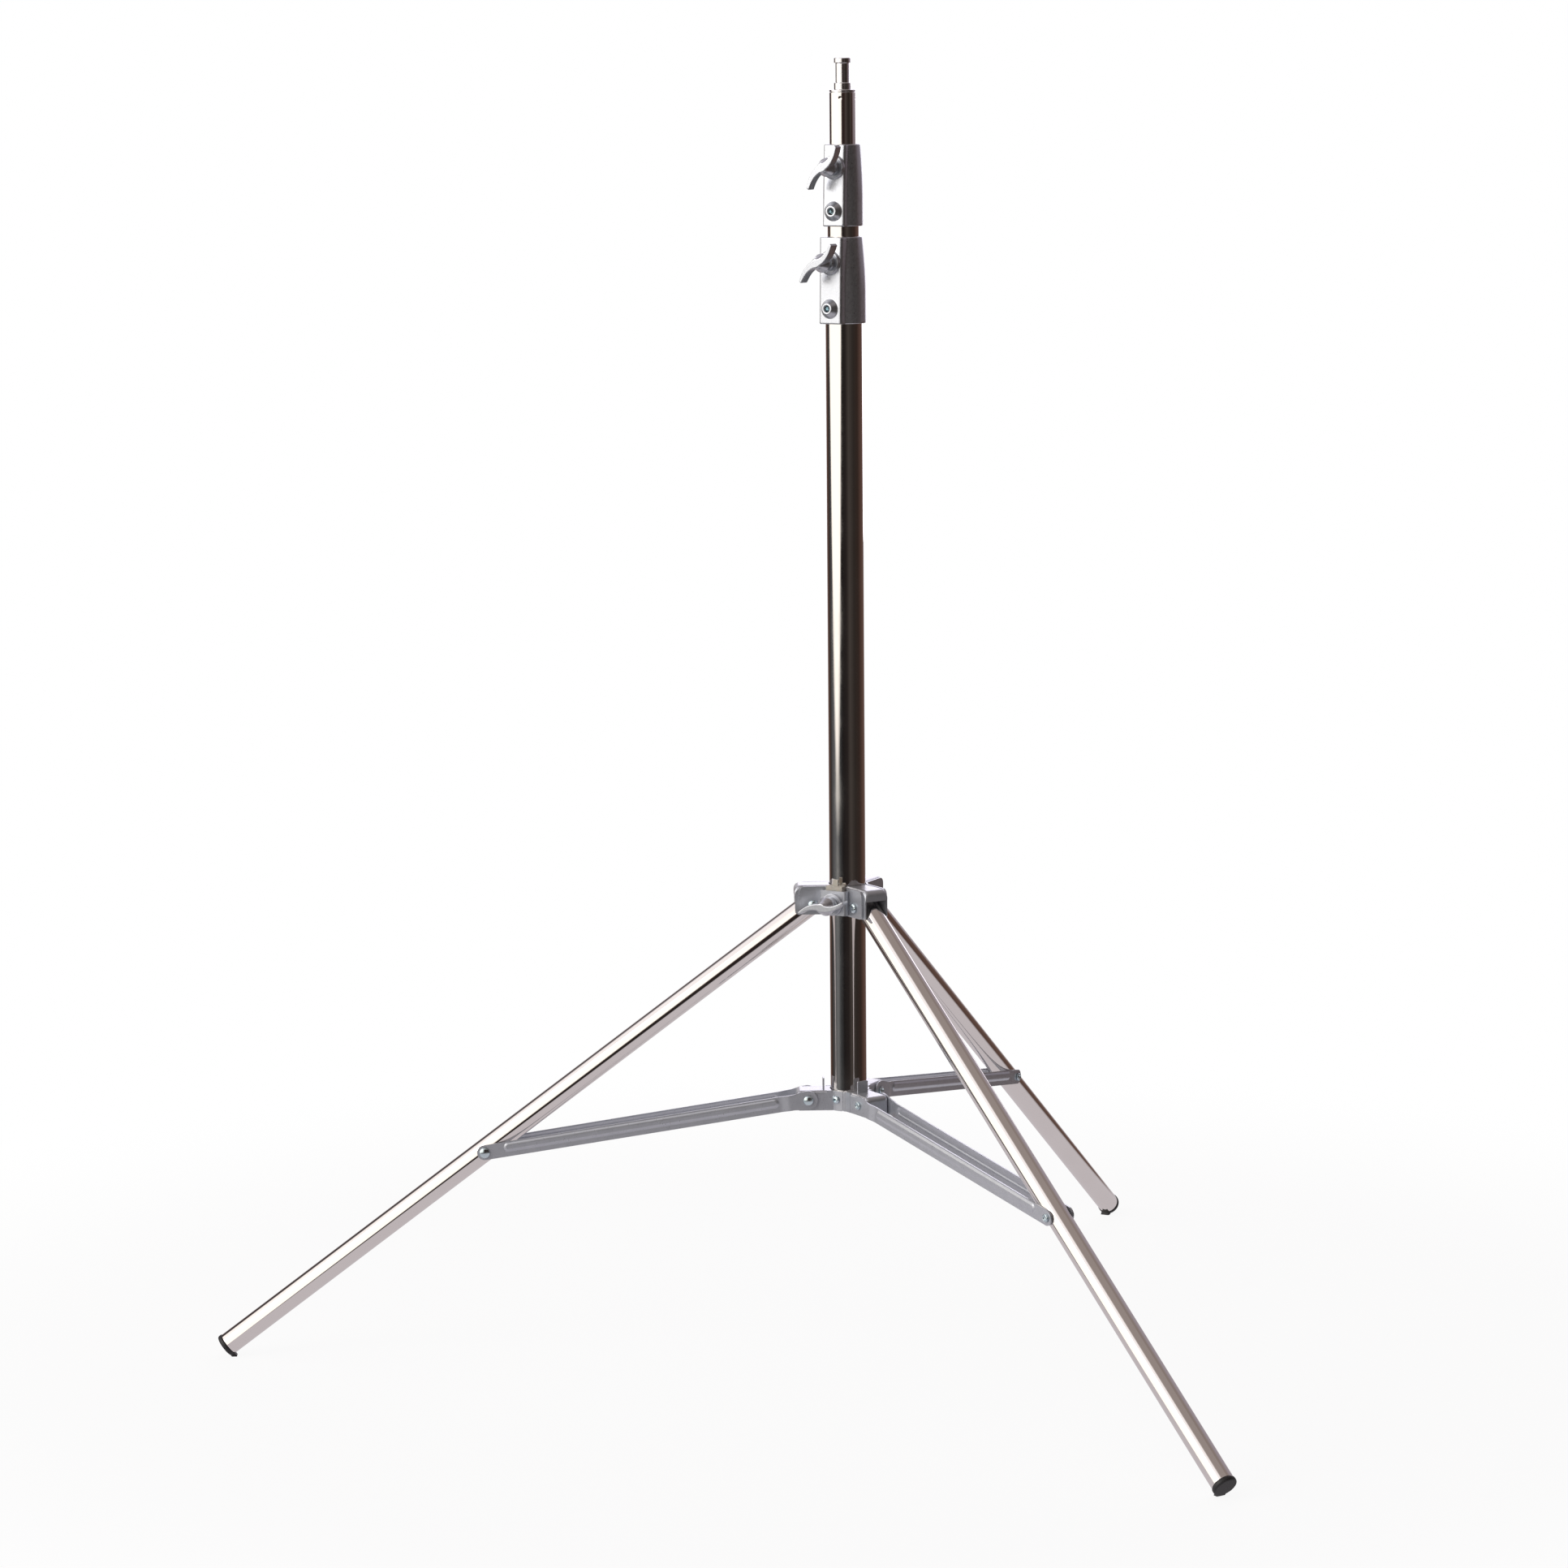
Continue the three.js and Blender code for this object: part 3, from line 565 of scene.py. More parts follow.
def spigot_steel():
    """Bright nickel plate over a turned steel spigot, with faint rings from the lathe."""
    s = Shading("spigot_steel")
    s.set(Metallic=1.0)
    cloud = s.noise(6, detail=3)
    s.wire("Base Color", s.tint(cloud, (0.74, 0.74, 0.75), (0.84, 0.84, 0.85)))
    s.wire("Roughness", s.spread(cloud, 0.3, 0.7, 0.12, 0.22))
    s.wire("Normal", s.bump(s.noise(0.3, detail=2, stretch=(0.02, 0.02, 1)), 0.002))
    return s.material


def foot_plastic():
    """Moulded black plastic with a fine spark-eroded grain, scuffed where it stands."""
    s = Shading("foot_plastic")
    grain = s.noise(0.5, detail=3)
    scuff = s.spread(s.noise(4, detail=5, roughness=0.7), 0.55, 0.75, 0, 0.6)
    s.wire("Base Color", s.tint(scuff, (0.012, 0.012, 0.013), (0.055, 0.052, 0.05)))
    s.wire("Roughness", s.spread(grain, 0.3, 0.7, 0.38, 0.58))
    s.wire("Normal", s.bump(grain, 0.02))
    return s.material


def nylon():
    """Beige-grey moulded nylon, slightly waxy."""
    s = Shading("nylon")
    s.set(Subsurface_Weight=0.08, Subsurface_Scale=0.002)
    cloud = s.noise(5, detail=4)
    s.wire("Base Color", s.tint(cloud, (0.47, 0.44, 0.39), (0.58, 0.55, 0.49)))
    s.wire("Roughness", s.spread(cloud, 0.3, 0.7, 0.42, 0.55))
    s.wire("Normal", s.bump(s.noise(0.6, detail=2), 0.01))
    return s.material


FINISHES = (polished_steel, cast_alloy, pressed_steel, zinc_plated_steel, spigot_steel, foot_plastic, nylon)
MATERIALS = {finish.__name__: finish() for finish in FINISHES}

# ---- column tubes

COLUMN_FRAME = local_frame(0)


def plain_tube(node):
    low, high = local_box(node, COLUMN_FRAME)
    dress(node, tube(high.x - TUBE_WALL, high.x, low.z, high.z), COLUMN_FRAME)


def dimpled_tube(node):
    """The top tube, whose upper end is crimped into the spigot's groove at several points."""
    low, high = local_box(node, COLUMN_FRAME)
    outer = high.x
    dimple_z = high.z - DIMPLE_BELOW_TOP
    wall = [(outer, dimple_z + offset * 0.4) for offset in range(-10, 11)]
    corners = [(outer - TUBE_WALL, low.z, TUBE_EDGE), (outer, low.z, TUBE_EDGE)]
    corners += [(r, z, 0) for r, z in wall]
    corners += [(outer, high.z, TUBE_EDGE), (outer - TUBE_WALL, high.z, TUBE_EDGE)]
    mesh = lathe(fillet(corners, steps=4), 2 * COLUMN_SEGMENTS)
    for azimuth in DIMPLE_AZIMUTHS:
        direction = polar(1, azimuth)
        centre = Vector((*(direction * outer), dimple_z))
        for vertex in mesh.vertices:
            if math.hypot(vertex.co.x, vertex.co.y) < outer - 0.01:
                continue
            distance = (vertex.co - centre).length
            if distance < 3 * DIMPLE_RADIUS:
                press = DIMPLE_DEPTH * math.exp(-((distance / DIMPLE_RADIUS) ** 2))
                vertex.co -= Vector((*direction, 0)) * press
    dress(node, mesh, COLUMN_FRAME, crease=60)


def guide(node, inside, around):
    """A nylon ring on a riser's lower end."""
    low, high = local_box(node, COLUMN_FRAME)
    bore = local_box(inside, COLUMN_FRAME)[1].x + CLEARANCE
    outer = local_box(around, COLUMN_FRAME)[1].x - TUBE_WALL - CLEARANCE
    dress(node, tube(bore, outer, low.z, high.z, edge=0.3), COLUMN_FRAME)


def spigot():
    low, high = local_box("spigot", COLUMN_FRAME)
    shoulder = low.z + SPIGOT_PLUG
    collar = shoulder + SPIGOT_FLANGE
    neck = collar + SPIGOT_COLLAR
    rim = neck + SPIGOT_NECK
    radius = 15.9 / 2
    flange = high.x
    plug = flange - TUBE_WALL - CLEARANCE
    corners = [
        (0, low.z, 0), (plug, low.z, 1.0), (plug, shoulder, 0), (flange, shoulder, 0.4),
        (flange, collar, 0.6), (radius, collar, 0.5), (radius, neck, 0.6),
        (SPIGOT_NECK_RADIUS, neck, 0.6), (SPIGOT_NECK_RADIUS, rim, 0.6),
        (radius, rim, 0.5), (radius, high.z, 0.9), (radius - 2.5, high.z, 0), (0, high.z, 0),
    ]
    dress("spigot", turned(corners, COLUMN_SEGMENTS), COLUMN_FRAME)


# ---- cast clamp collars


def collar_ring(radius, face, half, inset, z, segments=COLUMN_SEGMENTS):
    """One level of a collar's outside: a round body merged with a front block."""
    ring = []
    edge = COLLAR_EDGE
    for step in range(segments):
        angle = 2 * math.pi * step / segments
        across, along = math.sin(angle), math.cos(angle)
        reach = radius
        if along > 0:
            to_face = face / along
            to_side = half / max(abs(across), 1e-6)
            reach_block = min(to_face, to_side)
            x = reach_block * along
            y = reach_block * abs(across)
            if x > face - edge and y > half - edge:
                centre = Vector((face - edge, half - edge))
                ray = Vector((along, abs(across)))
                middle = ray.dot(centre)
                reach_block = middle + math.sqrt(max(edge**2 - (centre.length_squared - middle**2), 0))
            reach = max(reach, reach_block)
        reach -= inset
        ring.append((reach * along, reach * across, z))
    return ring


def circle_ring(radius, z, segments=COLUMN_SEGMENTS):
    return [(*(polar(radius, 360 * step / segments)), z) for step in range(segments)]


def collar_casting(node, place, sizes, lower, upper, lever_z, screw_z):
    low, high = local_box(node, place)
    height = high.z - low.z
    half = sizes["half"]

    def face_at(z):
        return blend(sizes["face_top"], sizes["face_bottom"], (high.z - z) / height)

    def body_at(z):
        down = min((high.z - z) / height / COLLAR_FULLEST, 1)
        return blend(sizes["body_top"], sizes["body_bottom"], math.sin(down * math.pi / 2))

    outside = []
    for step in range(7):
        turn = math.radians(90 * step / 6)
        z = low.z + COLLAR_RIM * (1 - math.cos(turn))
        outside.append((z, COLLAR_RIM * (1 - math.sin(turn))))
    middle_steps = 30
    for step in range(1, middle_steps):
        outside.append((blend(low.z + COLLAR_RIM, high.z - COLLAR_RIM, step / middle_steps), 0))
    for step in range(7):
        turn = math.radians(90 * step / 6)
        z = high.z - COLLAR_RIM * (1 - math.sin(turn))
        outside.append((z, COLLAR_RIM * (1 - math.cos(turn))))
    seat = sizes["seat"]
    bore_low = lower + CLEARANCE
    bore_high = upper + 2 * CLEARANCE
    bush_top = high.z - BUSH_LIP
    bush_bottom = bush_top - BUSH_HEIGHT - CLEARANCE
    recess = bore_high + BUSH_WALL
    rings = [circle_ring(bore_low, low.z + BORE_EDGE), circle_ring(bore_low + BORE_EDGE, low.z)]
    rings += [collar_ring(body_at(z), face_at(z), half, inset, z) for z, inset in outside]
    rings += [circle_ring(bore_high + BORE_EDGE, high.z), circle_ring(bore_high, high.z - BORE_EDGE)]
    rings += [circle_ring(bore_high, bush_top), circle_ring(recess, bush_top)]
    rings += [circle_ring(recess, bush_bottom), circle_ring(bore_high, bush_bottom)]
    rings += [circle_ring(bore_high, seat), circle_ring(bore_low, seat)]
    body = rings_mesh(rings)
    lever_face = face_at(lever_z)
    screw_face = face_at(screw_z)
    boss = turned([
        (0, lever_face - CAST_ROOT, 0), (BOSS_RADIUS, lever_face - CAST_ROOT, 0),
        (BOSS_RADIUS, lever_face + BOSS_HEIGHT, 1.2), (0, lever_face + BOSS_HEIGHT, 0),
    ], 96, outward(lever_z))
    cone_top = screw_face + CONE_HEIGHT
    cone = turned([
        (0, screw_face - 4, 0), (CONE_BASE, screw_face - 4, 0), (CONE_BASE, screw_face - 0.2, 0.6),
        (CONE_TIP, cone_top, 0.7), (0, cone_top, 0),
    ], 96, outward(screw_z))
    lever_hole = rod(LEVER_HOLE, 10, lever_face + 10, 0, turn=outward(lever_z))
    screw_hole = lathe([
        (0, 10), (SCREW_HOLE, 10), (SCREW_HOLE, cone_top - 0.5),
        (SCREW_HOLE_MOUTH, cone_top + 0.5), (0, cone_top + 0.5),
    ], turn=outward(screw_z))
    mesh = carve(body, joined=[boss, cone], cut=[lever_hole, screw_hole])
    dress(node, cast(mesh, COLLAR_VOXEL, 4), place, crease=70)
    return lever_face


def hex_outline(across_corners):
    return [polar(across_corners, 60 * corner) for corner in range(6)]


def set_screw(node, place, z):
    low, high = local_box(node, place)
    radius = (high.y - low.y) / 2
    turn = outward(z)
    body = rod(radius, low.x, high.x, 0.4, turn=turn)
    socket = prism(hex_outline(SET_SCREW_SOCKET), high.x - SET_SCREW_SOCKET_DEPTH, high.x + 1, turn)
    dress(node, carve(body, cut=[socket]), place)


def lever_half(t):
    return blend(LEVER_ROOT_HALF, LEVER_TIP_HALF, t**0.9)


def lever_outline(angle):
    """The S-shaped bar seen from its front, as (across, up) about its screw."""
    steps = 28
    side, other = [], []
    for step in range(2, steps + 1):
        t = step / steps
        centre = polar(LEVER_TIP * t, angle - LEVER_TWIST * (1 - t) ** 1.15)
        ahead = polar(LEVER_TIP * (t + 0.01), angle - LEVER_TWIST * max(1 - t - 0.01, 0) ** 1.15)
        along = (ahead - centre).normalized()
        across = Vector((-along.y, along.x)) * lever_half(t)
        side.append(centre + across)
        other.append(centre - across)
    arm = other + list(reversed(side))
    return arm + [-point for point in arm]


def lever(node, place, face, z, angle):
    sideways = Matrix(((0, 0, 1, 0), (1, 0, 0, 0), (0, 1, 0, 0), (0, 0, 0, 1)))
    to_face = Matrix.Translation((0, 0, z)) @ sideways
    bar = prism(lever_outline(angle), face + LEVER_BACK, face + LEVER_FRONT - 0.3, to_face)
    start = face + BOSS_HEIGHT + CLEARANCE
    back = face + LEVER_BACK
    front = face + LEVER_FRONT
    hub = turned([
        (0, start, 0), (LEVER_NECK + 0.9, start, 0.6), (LEVER_NECK, start + 3, 2.5),
        (LEVER_NECK + 0.8, back - 5, 4), (LEVER_HUB, back - 0.5, 1.2),
        (LEVER_NOSE + 1.4, front - 5, 4), (LEVER_NOSE, front - 0.4, 1.0), (0, front - 0.4, 0),
    ], 96, outward(z))
    hole = rod(LEVER_HOLE, start - 1, back + 2.8, 0, turn=outward(z))
    solid = carve(bar, joined=[hub], cut=[hole])
    dress(node, cast(solid, softening=4), place, crease=70)


def stud(node, place, z):
    low, high = local_box(node, place)
    dress(node, rod((high.y - low.y) / 2, low.x, high.x, 0.5, turn=outward(z)), place)


def clamp_shoe(node, place, upper, z):
    """The nylon puck between a lever's stud and the riser, hollowed to fit the riser."""
    low, high = local_box(node, place)
    puck = rod((high.y - low.y) / 2, low.x - 2, high.x, 0.4, turn=outward(z))
    riser = rod(upper + CLEARANCE, z - 20, z + 20, 0, 96)
    dress(node, carve(puck, cut=[riser]), place)


COLLAR_SIZES = {
    "outer": {"half": 12.7, "face_top": 22.5, "face_bottom": 24.5, "body_top": 18.0, "body_bottom": 21.1},
    "middle": {"half": 11.7, "face_top": 17.8, "face_bottom": 21.0, "body_top": 16.6, "body_bottom": 18.8},
}
LEVER_ANGLE = {"outer": 46, "middle": 54, "leg": 16}
CARRIED_TUBE = {"outer": ("outer_tube", "middle_tube"), "middle": ("middle_tube", "top_tube")}


def collar(name):
    axis = Vector(JOINTS[f"{name}_lever_turn"]["axis"])
    place = local_frame(azimuth_of(axis))
    lower, upper = [local_box(node, COLUMN_FRAME)[1] for node in CARRIED_TUBE[name]]
    sizes = dict(COLLAR_SIZES[name], seat=lower.z + 1)
    screw_low, screw_high = local_box(f"{name}_set_screw", place)
    lever_z = joint_place(f"{name}_lever_turn").z / MM
    screw_z = (screw_low.z + screw_high.z) / 2
    face = collar_casting(f"{name}_collar", place, sizes, lower.x, upper.x, lever_z, screw_z)
    bush_low, bush_high = local_box(f"{name}_bush", COLUMN_FRAME)
    bore = upper.x + CLEARANCE
    dress(f"{name}_bush", tube(bore, bore + BUSH_WALL, bush_low.z, bush_high.z, edge=0.2), COLUMN_FRAME)
    clamp_shoe(f"{name}_clamp_shoe", place, upper.x, lever_z)
    set_screw(f"{name}_set_screw", place, screw_z)
    stud(f"{name}_lever_stud", place, lever_z)
    lever(f"{name}_lever", place, face, lever_z, LEVER_ANGLE[name])


# ---- pressed covers and brackets


def recede(distance, radius):
    """How far a rounded corner's edge steps back at that distance before the sheet's end."""
    if distance >= radius:
        return 0.0
    return radius - math.sqrt(max(radius**2 - (radius - distance) ** 2, 0))


def cover_surface(form, outer_half, outer_top, bottom, outer_end):
    """The middle surface of an inverted channel whose outer end curls down into a lip."""
    inset = form["wall"] / 2
    half, top, end = outer_half - inset, outer_top - inset, outer_end - inset
    edge, nose = form["edge"] - inset, form["nose"] - inset
    side_round, lip = form["side_round"], form["lip"]
    section = [("wall", step / 12) for step in range(12)]
    section += [("edge", 90 * step / COVER_STEPS) for step in range(COVER_STEPS)]
    section += [("top", step / 12) for step in range(7)]
    stations = [("straight", step / 12) for step in range(12)]
    stations += [("nose", 90 * step / COVER_STEPS) for step in range(COVER_STEPS + 1)]

    def point(station, part):
        kind, amount = station
        height = top
        x = end - nose
        if kind == "nose":
            x += nose * math.sin(math.radians(amount))
            height -= nose * (1 - math.cos(math.radians(amount)))
        width = half - recede(end - x, side_round) if side_round else half
        under = bottom + recede(end - x, COVER_LOW_CORNER)
        where, share = part
        if where == "wall":
            y, z = width, blend(under, height - edge, share)
        elif where == "edge":
            y = width - edge + edge * math.cos(math.radians(share))
            z = height - edge + edge * math.sin(math.radians(share))
        else:
            y, z = (width - edge) * (1 - share * 2), height
        if kind == "straight":
            start = math.sqrt(max(form["start"] ** 2 - y**2, 0))
            x = blend(start, end - nose, amount)
        return Vector((x, y, z))

    rows = []
    for station in stations:
        half_row = [point(station, part) for part in section]
        mirrored = [Vector((p.x, -p.y, p.z)) for p in reversed(half_row[:-1])]
        rows.append(half_row + mirrored)
    points = [p for row in rows for p in row]
    faces = ring_faces(rows, closed_rings=False, around=False)
    last = rows[-1]
    first_index = len(points) - len(last)
    mouth = [j for j, p in enumerate(last) if p.z >= top - lip - 0.01]
    first, final = last[mouth[0]], last[mouth[-1]]
    plate = [first_index + j for j in mouth]
    if first.z > top - lip + 0.01:
        points.append(Vector((final.x, final.y, top - lip)))
        points.append(Vector((first.x, first.y, top - lip)))
        plate += [len(points) - 2, len(points) - 1]
    faces.append(tuple(plate))
    return mesh_of(points, faces)


def leg_cover(side):
    node = f"leg_cover_{side}"
    place = LEG_FRAME[side]
    low, high = local_box(node, place)
    surface = cover_surface(LEG_COVER, high.y, high.z, low.z, high.x)
    dress(node, sheet(surface, LEG_COVER["wall"]), place)


def path_sheet(path, low, high, thickness, start_corners=(0, 0), end_corners=(0, 0)):
    """A sheet standing on a plan path, with its upper and lower corners rounded at either end."""
    lengths = [0.0]
    for first, second in zip(path, path[1:]):
        lengths.append(lengths[-1] + (second - first).length)
    total = lengths[-1]
    marks = set(lengths)
    for radius in set(start_corners):
        marks.update(radius * (1 - math.cos(math.radians(10 * k))) for k in range(10))
    for radius in set(end_corners):
        marks.update(total - radius * (1 - math.cos(math.radians(10 * k))) for k in range(10))
    ordered = []
    for mark in sorted(marks):
        if not ordered or mark - ordered[-1] > 0.02:
            ordered.append(mark)
    rows = []
    for mark in ordered:
        i = max(k for k, length in enumerate(lengths) if length <= mark + 1e-6)
        i = min(i, len(path) - 2)
        share = (mark - lengths[i]) / (lengths[i + 1] - lengths[i])
        spot = blend(path[i], path[i + 1], share)
        floor = low + recede(mark, start_corners[0]) + recede(total - mark, end_corners[0])
        roof = high - recede(mark, start_corners[1]) - recede(total - mark, end_corners[1])
        rows.append([(spot.x, spot.y, blend(floor, roof, step / 10)) for step in range(11)])
    return sheet(rings_mesh(rows, closed_rings=False, around=False), thickness)


def clamp_plate(node, azimuth):
    """One plate: an ear beside a leg, a band round the column and an ear beside the next leg."""
    place = local_frame(azimuth)
    low, high = local_box(node, place)
    radius = COLUMN_CLEARANCE + CLAMP_SHEET / 2
    near = math.sqrt(radius**2 - EAR_MIDDLE**2)
    to_first = Matrix.Rotation(math.radians(60), 2)
    to_second = Matrix.Rotation(math.radians(-60), 2)
    start = to_first @ Vector((EAR_END, -EAR_MIDDLE))
    bend = to_first @ Vector((near, -EAR_MIDDLE))
    other_bend = to_second @ Vector((near, EAR_MIDDLE))
    finish = to_second @ Vector((EAR_END, EAR_MIDDLE))
    first_angle = math.degrees(math.atan2(bend.y, bend.x))
    last_angle = math.degrees(math.atan2(other_bend.y, other_bend.x))
    corners = [(*start, 0), (*bend, BAND_BEND)]
    for step in range(1, 6):
        corners.append((*polar(radius, blend(first_angle, last_angle, step / 6)), 0))
    corners += [(*other_bend, BAND_BEND), (*finish, 0)]
    path = fillet(corners, closed=False, steps=8)
    ears = (EAR_LOW_CORNER, EAR_TOP_CORNER)
    dress(node, path_sheet(path, low.z, high.z, CLAMP_SHEET, ears, ears), place)


def half_plate(node, side):
    """A flat ear beside the lever, hooked behind the bridge."""
    place = LEG_FRAME[side]
    low, high = local_box(node, place)
    middle = (low.y + high.y) / 2
    path = [Vector((blend(low.x, high.x, step / 12), middle)) for step in range(13)]
    mesh = path_sheet(path, low.z, high.z, CLAMP_SHEET, (0, 0), (EAR_LOW_CORNER, EAR_TOP_CORNER))
    dress(node, mesh, place)


def clamp_bridge(place, z):
    node = "leg_clamp_bridge"
    low, high = local_box(node, place)
    front = high.x - BOSS_HEIGHT
    half = high.y
    path = fillet([
        (low.x, -half + 1, 0), (front - 1, -half + 1, BRIDGE_EDGE),
        (front - 1, half - 1, BRIDGE_EDGE), (low.x, half - 1, 0),
    ], closed=False)
    lips = path_sheet(path, low.z, high.z, 2.0, (1, 1), (1, 1))
    core = bevelled(block((front - 2.4, -half + 2, low.z + 0.5), (front - 0.2, half - 2, high.z - 0.5)), 0.3)
    boss = turned([
        (0, front - 1, 0), (BOSS_RADIUS - 0.4, front - 1, 0),
        (BOSS_RADIUS - 0.4, front + BOSS_HEIGHT, 1.0), (0, front + BOSS_HEIGHT, 0),
    ], 96, outward(z))
    hole = rod(LEVER_HOLE, front - 8, front + 10, 0, turn=outward(z))
    dress(node, carve(lips, joined=[core, boss], cut=[hole]), place)
    return front


def leg_clamp_shoe(place):
    """The pale block between the bridge and the column, with a stop tab on its top."""
    node = "leg_clamp_shoe"
    low, high = local_box(node, place)
    half = high.y
    top = high.z - SHOE_BODY_BELOW_TOP
    plan = fillet([
        (16, -2.5, 0), (20.4, -half, 0.8), (high.x, -half, 0.8),
        (high.x, half, 0.8), (20.4, half, 0.8), (16, 2.5, 0),
    ])
    body = bevelled(prism(plan, low.z, top), 0.5)
    near, far, tab_half = SHOE_TAB["near"], SHOE_TAB["far"], SHOE_TAB["half"]
    tab = bevelled(block((near, -tab_half, top - 3), (far, tab_half, high.z)), 0.4)
    column = rod(COLUMN_CLEARANCE, low.z - 5, high.z + 5, 0, COLUMN_SEGMENTS)
    dress(node, carve(body, joined=[tab], cut=[column]), place)


def dome_profile(radius, height, base):
    """Half the outline of a domed head that stands on base, from its rim to the axis."""
    rim = height * 0.28
    points = [(radius - 0.25, base), (radius, base + 0.25), (radius, base + rim)]
    steps = 10
    for step in range(1, steps + 1):
        turn = math.radians(90 * step / steps)
        points.append((radius * math.cos(turn), base + rim + (height - rim) * math.sin(turn)))
    points[-1] = (0, base + height)
    return points


def swaged_profile(height, base):
    """Half the outline of a pin's end that is spread by a punch, from its rim to the axis."""
    top = base + height
    floor = base + 0.35 * height
    corners = [
        (SHANK_RADIUS, base, 0), (SWAGED_RADIUS, base, 0.2), (SWAGED_RADIUS, top, 0.7),
        (PUNCH_RADIUS + 0.4, top, 0.3), (PUNCH_RADIUS - 0.3, floor, 0.3), (0, floor, 0),
    ]
    return [tuple(point) for point in fillet(corners, closed=False, steps=4)]


def pivot_pin(node, place, x, z, swaged):
    """A pin with a domed head at one end and a dome or a swaged end at the other."""
    half = local_box(node, place)[1].y - PIN_HEAD
    upper = [(SHANK_RADIUS, 0), (SHANK_RADIUS, half)] + dome_profile(PIN_RADIUS, PIN_HEAD, half)
    far = dome_profile(PIN_RADIUS, PIN_HEAD, half)
    if swaged:
        far = swaged_profile(PIN_HEAD * 0.6, half)
    lower = [(r, -h) for r, h in reversed(far)] + [(SHANK_RADIUS, -half)]
    turn = Matrix.Translation((x, 0, z)) @ TO_Y
    dress(node, lathe(lower + upper, turn=turn), place)


def base_bracket(side):
    node = f"base_bracket_{side}"
    place = LEG_FRAME[side]
    low, high = local_box(node, place)
    top = high.z - STOP_TAB["height"]
    cover = sheet(cover_surface(BASE_COVER, BASE_HALF, top, low.z, high.x), BASE_COVER["wall"])
    flanges = []
    wall_y = BASE_HALF - FLANGE_SHEET / 2 + 0.2
    meet = math.degrees(math.asin(wall_y / FLANGE_RADIUS))
    for sign, last in ((1, FLANGE_LONG), (-1, FLANGE_SHORT)):
        corners = [(22, wall_y, 0), (*polar(FLANGE_RADIUS, meet), 1.5)]
        steps = 8
        for step in range(steps + 1):
            corners.append((*polar(FLANGE_RADIUS, blend(meet + 5, last, step / steps)), 0))
        path = [Vector((p.x, sign * p.y)) for p in fillet(corners, closed=False, steps=8)]
        flanges.append(path_sheet(path, low.z, top, FLANGE_SHEET, (0, 0), (1.2, 1.2)))
    tab_path = [Vector((STOP_TAB["x"], blend(-1, 1, step / 8) * STOP_TAB["half"])) for step in range(9)]
    tab = path_sheet(tab_path, top - 1.0, high.z, STOP_TAB["thickness"], (0, 1.2), (0, 1.2))
    dress(node, joined([cover, tab] + flanges), place)


def base_screw(side):
    """A domed socket screw through the long flange of a base bracket."""
    node = f"base_screw_{side}"
    points = [vertex.co for vertex in frame["nodes"][node].data.vertices]
    middle = sum(points, Vector()) / len(points) - COLUMN
    place = local_frame(azimuth_of(middle))
    low, high = local_box(node, place)
    z = (low.z + high.z) / 2
    shank, head, height = BASE_SCREW["shank"], BASE_SCREW["head"], BASE_SCREW["height"]
    seat = high.x - height
    profile = [(0, low.x), (shank - 0.4, low.x), (shank, low.x + 0.4), (shank, seat)]
    profile += dome_profile(head, height, seat)
    turn = outward(z)
    socket = prism(hex_outline(BASE_SCREW["socket"]), seat + 0.7, high.x + 1, turn)
    dress(node, carve(lathe(profile, turn=turn), cut=[socket]), place)


# ---- legs, braces and feet


def axis_frame(place, x, z, direction):
    """A frame at (x, z) of a leg frame whose +X runs along the given (x, z) direction."""
    slope = math.atan2(direction[1], direction[0])
    return place @ Matrix.Translation((x * MM, 0, z * MM)) @ Matrix.Rotation(-slope, 4, "Y")


def leg(side):
    place = LEG_FRAME[side]
    x, z = pivot_of(f"leg_{side}_fold", place)
    rivet_low, rivet_high = local_box(f"brace_rivet_{side}_a", place)
    rivet_x = (rivet_low.x + rivet_high.x) / 2
    rivet_z = (rivet_low.z + rivet_high.z) / 2
    along = axis_frame(place, x, z, (rivet_x - x, rivet_z - z)) @ Matrix.Rotation(math.radians(90), 4, "Y")
    low, high = local_box(f"leg_tube_{side}", along)
    mesh = tube(high.y - TUBE_WALL, high.y, low.z, high.z, segments=LEG_SEGMENTS)
    dress(f"leg_tube_{side}", mesh, along)
    foot(side, along, low.z if abs(low.z) > abs(high.z) else high.z)


def foot(side, along, end):
    """The plug in the lower end of a leg's tube, with a lug that is flat where it meets the floor."""
    node = f"foot_cap_{side}"
    place = LEG_FRAME[side]
    low, high = local_box(node, along)
    start = end + CLEARANCE
    bore = 11 - TUBE_WALL - CLEARANCE
    outline = fillet([
        (0, low.z, 0), (bore, low.z, 0.8), (bore, start, 0.3), (FOOT_LIP, start, 0.6),
        (FOOT_LIP, start + FOOT_THICKNESS, 1.8), (0, start + FOOT_THICKNESS, 0),
    ], closed=False)
    sign = 1 if abs(high.x) > abs(low.x) else -1
    inner, outer = sorted((sign * (FOOT_LIP - 4), sign * FOOT_LUG_RADIUS))
    lug = block((inner, -FOOT_LUG_HALF, start), (outer, FOOT_LUG_HALF, start + FOOT_THICKNESS))
    solid = cast(carve(lathe(outline, 96), joined=[lug]), FOOT_VOXEL, 6)
    to_leg = Matrix.Scale(1 / MM, 4) @ place.inverted() @ along @ Matrix.Scale(MM, 4)
    solid.transform(to_leg)
    floor = block((0, -60, -60), (2000, 60, 0))
    dress(node, carve(solid, cut=[floor]), place, crease=50)


